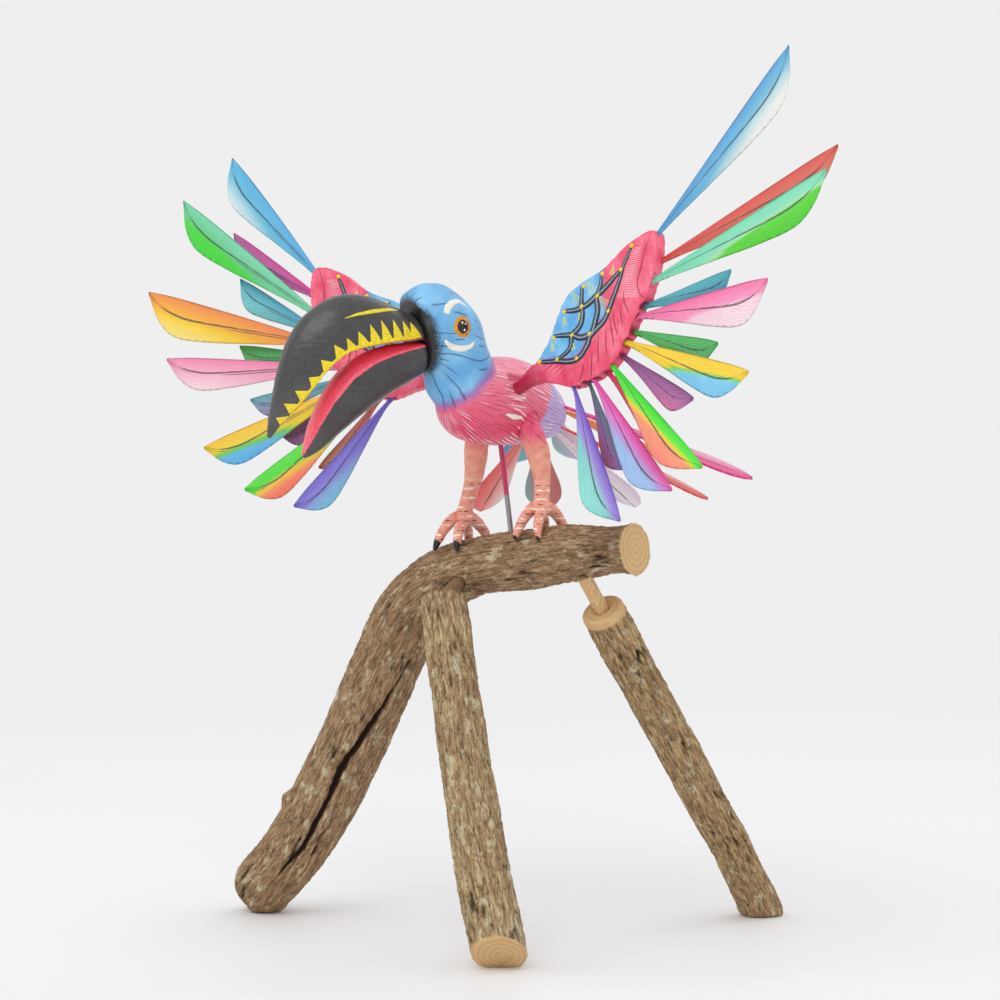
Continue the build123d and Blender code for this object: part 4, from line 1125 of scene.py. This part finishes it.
def blade(root, along, widen, length, width, lead, trail, cup, stem_in):
    """A blade and its stem: a grid drawn out along the quill, cupped, ridged and thickened."""
    outward = along.cross(widen).normalized()
    start = -stem_in / length
    form = bmesh.new()
    place_layer = form.loops.layers.uv.new("blade")
    band_layer = form.verts.layers.float.new("band")
    bmesh.ops.create_grid(form, x_segments=52, y_segments=12, size=1)
    for face in form.faces:
        for corner in face.loops:
            share = start + (1 - start) * (corner.vert.co.x + 1) / 2
            corner[place_layer].uv = (share, (corner.vert.co.y + 1) / 2)
    for vertex in form.verts:
        share = start + (1 - start) * (vertex.co.x + 1) / 2
        across = vertex.co.y
        low, high = lead(share), trail(share)
        reach = low + (high - low) * (across + 1) / 2
        vertex[band_layer] = (reach + STEM_RADIUS) / width
        swell = min(max((share - 0.02) * 5, 0), 1)
        lift = swell * (cup * (across * across - 0.35) * math.sin(math.pi * min(share, 0.9))
                        + QUILL_RISE * math.exp(-(across / 0.14) ** 2))
        vertex.co = root + (along * share * length + widen * reach + outward * lift) * MM
    bmesh.ops.solidify(form, geom=form.faces[:], thickness=BLADE_THICK * MM)
    bmesh.ops.recalc_face_normals(form, faces=form.faces)
    middle_gap = (sum((v.co for v in form.verts), Vector()) / len(form.verts) - root).dot(outward) / MM
    bmesh.ops.translate(form, verts=form.verts, vec=-outward * middle_gap * 0.8 * MM)
    return form


def wing_feather(wing, number, spec):
    length, angle, width, roll, colour_name, bands = spec
    plate_along, plate_trailing, plate_front = wing_axes(wing)
    side = WING_SIDE[wing]
    row = ROW_OFFSET if number % 2 else -ROW_OFFSET
    root = on_wing(wing, *STEM_PLACES[number - 1], row)
    swing = math.radians(angle)
    along = plate_along * math.cos(swing) + plate_trailing * math.sin(swing)
    widen = plate_trailing * math.cos(swing) - plate_along * math.sin(swing)
    lean = 0 if number % 2 else BACK_ROW_LEAN
    along = along * math.cos(lean) - plate_front * math.sin(lean)
    outward = along.cross(widen).normalized()
    tilt = math.radians(roll)
    widen = widen * math.cos(tilt) - outward * side * math.sin(tilt)
    lead_points = [(-0.1, -STEM_RADIUS), (0.05, -STEM_RADIUS), (0.3, -0.055 * width - 0.3),
                   (0.55, -0.07 * width), (0.85, -0.04 * width), (1, 0.02 * width)]
    trail_points = [(-0.1, STEM_RADIUS), (0.04, STEM_RADIUS), (0.35, 0.45 * width), (0.6, 0.8 * width),
                    (0.79, 0.95 * width), (0.9, 0.68 * width), (1, 0.04 * width + 0.6)]
    form = blade(root, along, widen, length, width, lambda share: eased_value(lead_points, share),
                 lambda share: eased_value(trail_points, share), BLADE_CUP * side, STEM_IN_PLATE)
    finish = feather_finish(f"{wing}_blade_{number:02d}", bands, length * BARBS_PER_MM, 0.1)
    name = f"{wing}_feather_{number:02d}"
    piece = new_piece(name + "_blade", form, [finish])
    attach(piece, wing + "_wing")
    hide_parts(name)
    return piece


for number, spec in enumerate(LEFT_FEATHERS, 1):
    wing_feather("left", number, spec)
for number, spec in enumerate(RIGHT_FEATHERS, 1):
    wing_feather("right", number, spec)


# ---- bird: tail ---------------------------------------------------------------------------------
# Nine wooden blades in two rows, broadest near their ends, with their stems glued into the rump.
# They are whittled and painted as the wings' feathers are.
TAIL_CENTRE_Y = 38.5
TAIL_ROOT_RADIUS = 13.5
TAIL_STEM_IN = 5
TAIL_MIDDLE = 0.45                      # the quill's place in a tail feather's paint bands
TAIL_ROWS = {"low": 320.5, "high": 334}
TAIL_FEATHERS = [
    (-55, 30, 0, 115, 22, "low", "coral", [(0, (238, 226, 220)), (0.5, (244, 120, 110)),
                                           (1, (236, 60, 70))]),
    (-43, 22, 0, 103, 22, "high", "teal", [(0, (90, 206, 206)), (1, (70, 150, 206))]),
    (-33, 30, 0, 112, 24, "low", "coral", [(0, (190, 80, 70)), (0.6, (196, 100, 90)), (1, (90, 170, 170))]),
    (-22, 20, 0, 107, 22, "high", "pink", [(0, (250, 226, 232)), (0.5, (206, 180, 220)),
                                           (1, (120, 206, 190))]),
    (-3, 27, 0, 120, 25, "low", "pink", [(0, (232, 214, 236)), (0.5, (244, 236, 244)),
                                         (1, (196, 176, 224))]),
    (2, 17, 0, 116, 22, "high", "gold", [(0, (250, 150, 60)), (0.6, (250, 130, 50)), (1, (250, 190, 40))]),
    (24, 18, 12, 96, 22, "high", "coral", [(0, (246, 130, 60)), (1, (244, 100, 60))]),
    (47, 26, 12, 106, 24, "low", "coral", [(0, (240, 80, 60)), (0.6, (244, 90, 80)), (1, (250, 190, 190))]),
    (56, 21, 14, 130, 25, "high", "magenta", [(0, (236, 30, 130)), (0.55, (240, 60, 150)),
                                              (1, (250, 190, 214))])]
for number, (heading, droop, roll, length, width, row, colour_name, bands) in enumerate(TAIL_FEATHERS, 1):
    turn, dip = math.radians(heading), math.radians(droop)
    level = Vector((math.sin(turn), math.cos(turn), 0))
    root = at(level.x * TAIL_ROOT_RADIUS, TAIL_CENTRE_Y + level.y * TAIL_ROOT_RADIUS, TAIL_ROWS[row])
    along = level * math.cos(dip) - Vector((0, 0, math.sin(dip)))
    widen = Vector((0, 0, 1)).cross(along).normalized()
    flat = along.cross(widen).normalized()
    tilt = math.radians(roll)
    widen = widen * math.cos(tilt) + flat * math.sin(tilt)
    edge = [(-0.1, STEM_RADIUS), (0.06, STEM_RADIUS), (0.45, 0.27 * width), (0.8, 0.5 * width),
            (0.95, 0.3 * width), (1, 0.5)]
    lead_edge = [(x, -y) for x, y in edge]
    name = f"tail_feather_{number:02d}"
    form = blade(root, along, widen, length, width, lambda share: eased_value(lead_edge, share),
                 lambda share: eased_value(edge, share), BLADE_CUP, TAIL_STEM_IN)
    for vertex in form.verts:
        vertex[form.verts.layers.float["band"]] += TAIL_MIDDLE
    piece = new_piece(name + "_blade", form, [feather_finish(name + "_paint", bands,
                                                             length * BARBS_PER_MM, 0.0)])
    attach(piece, "bird")
    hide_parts(name)
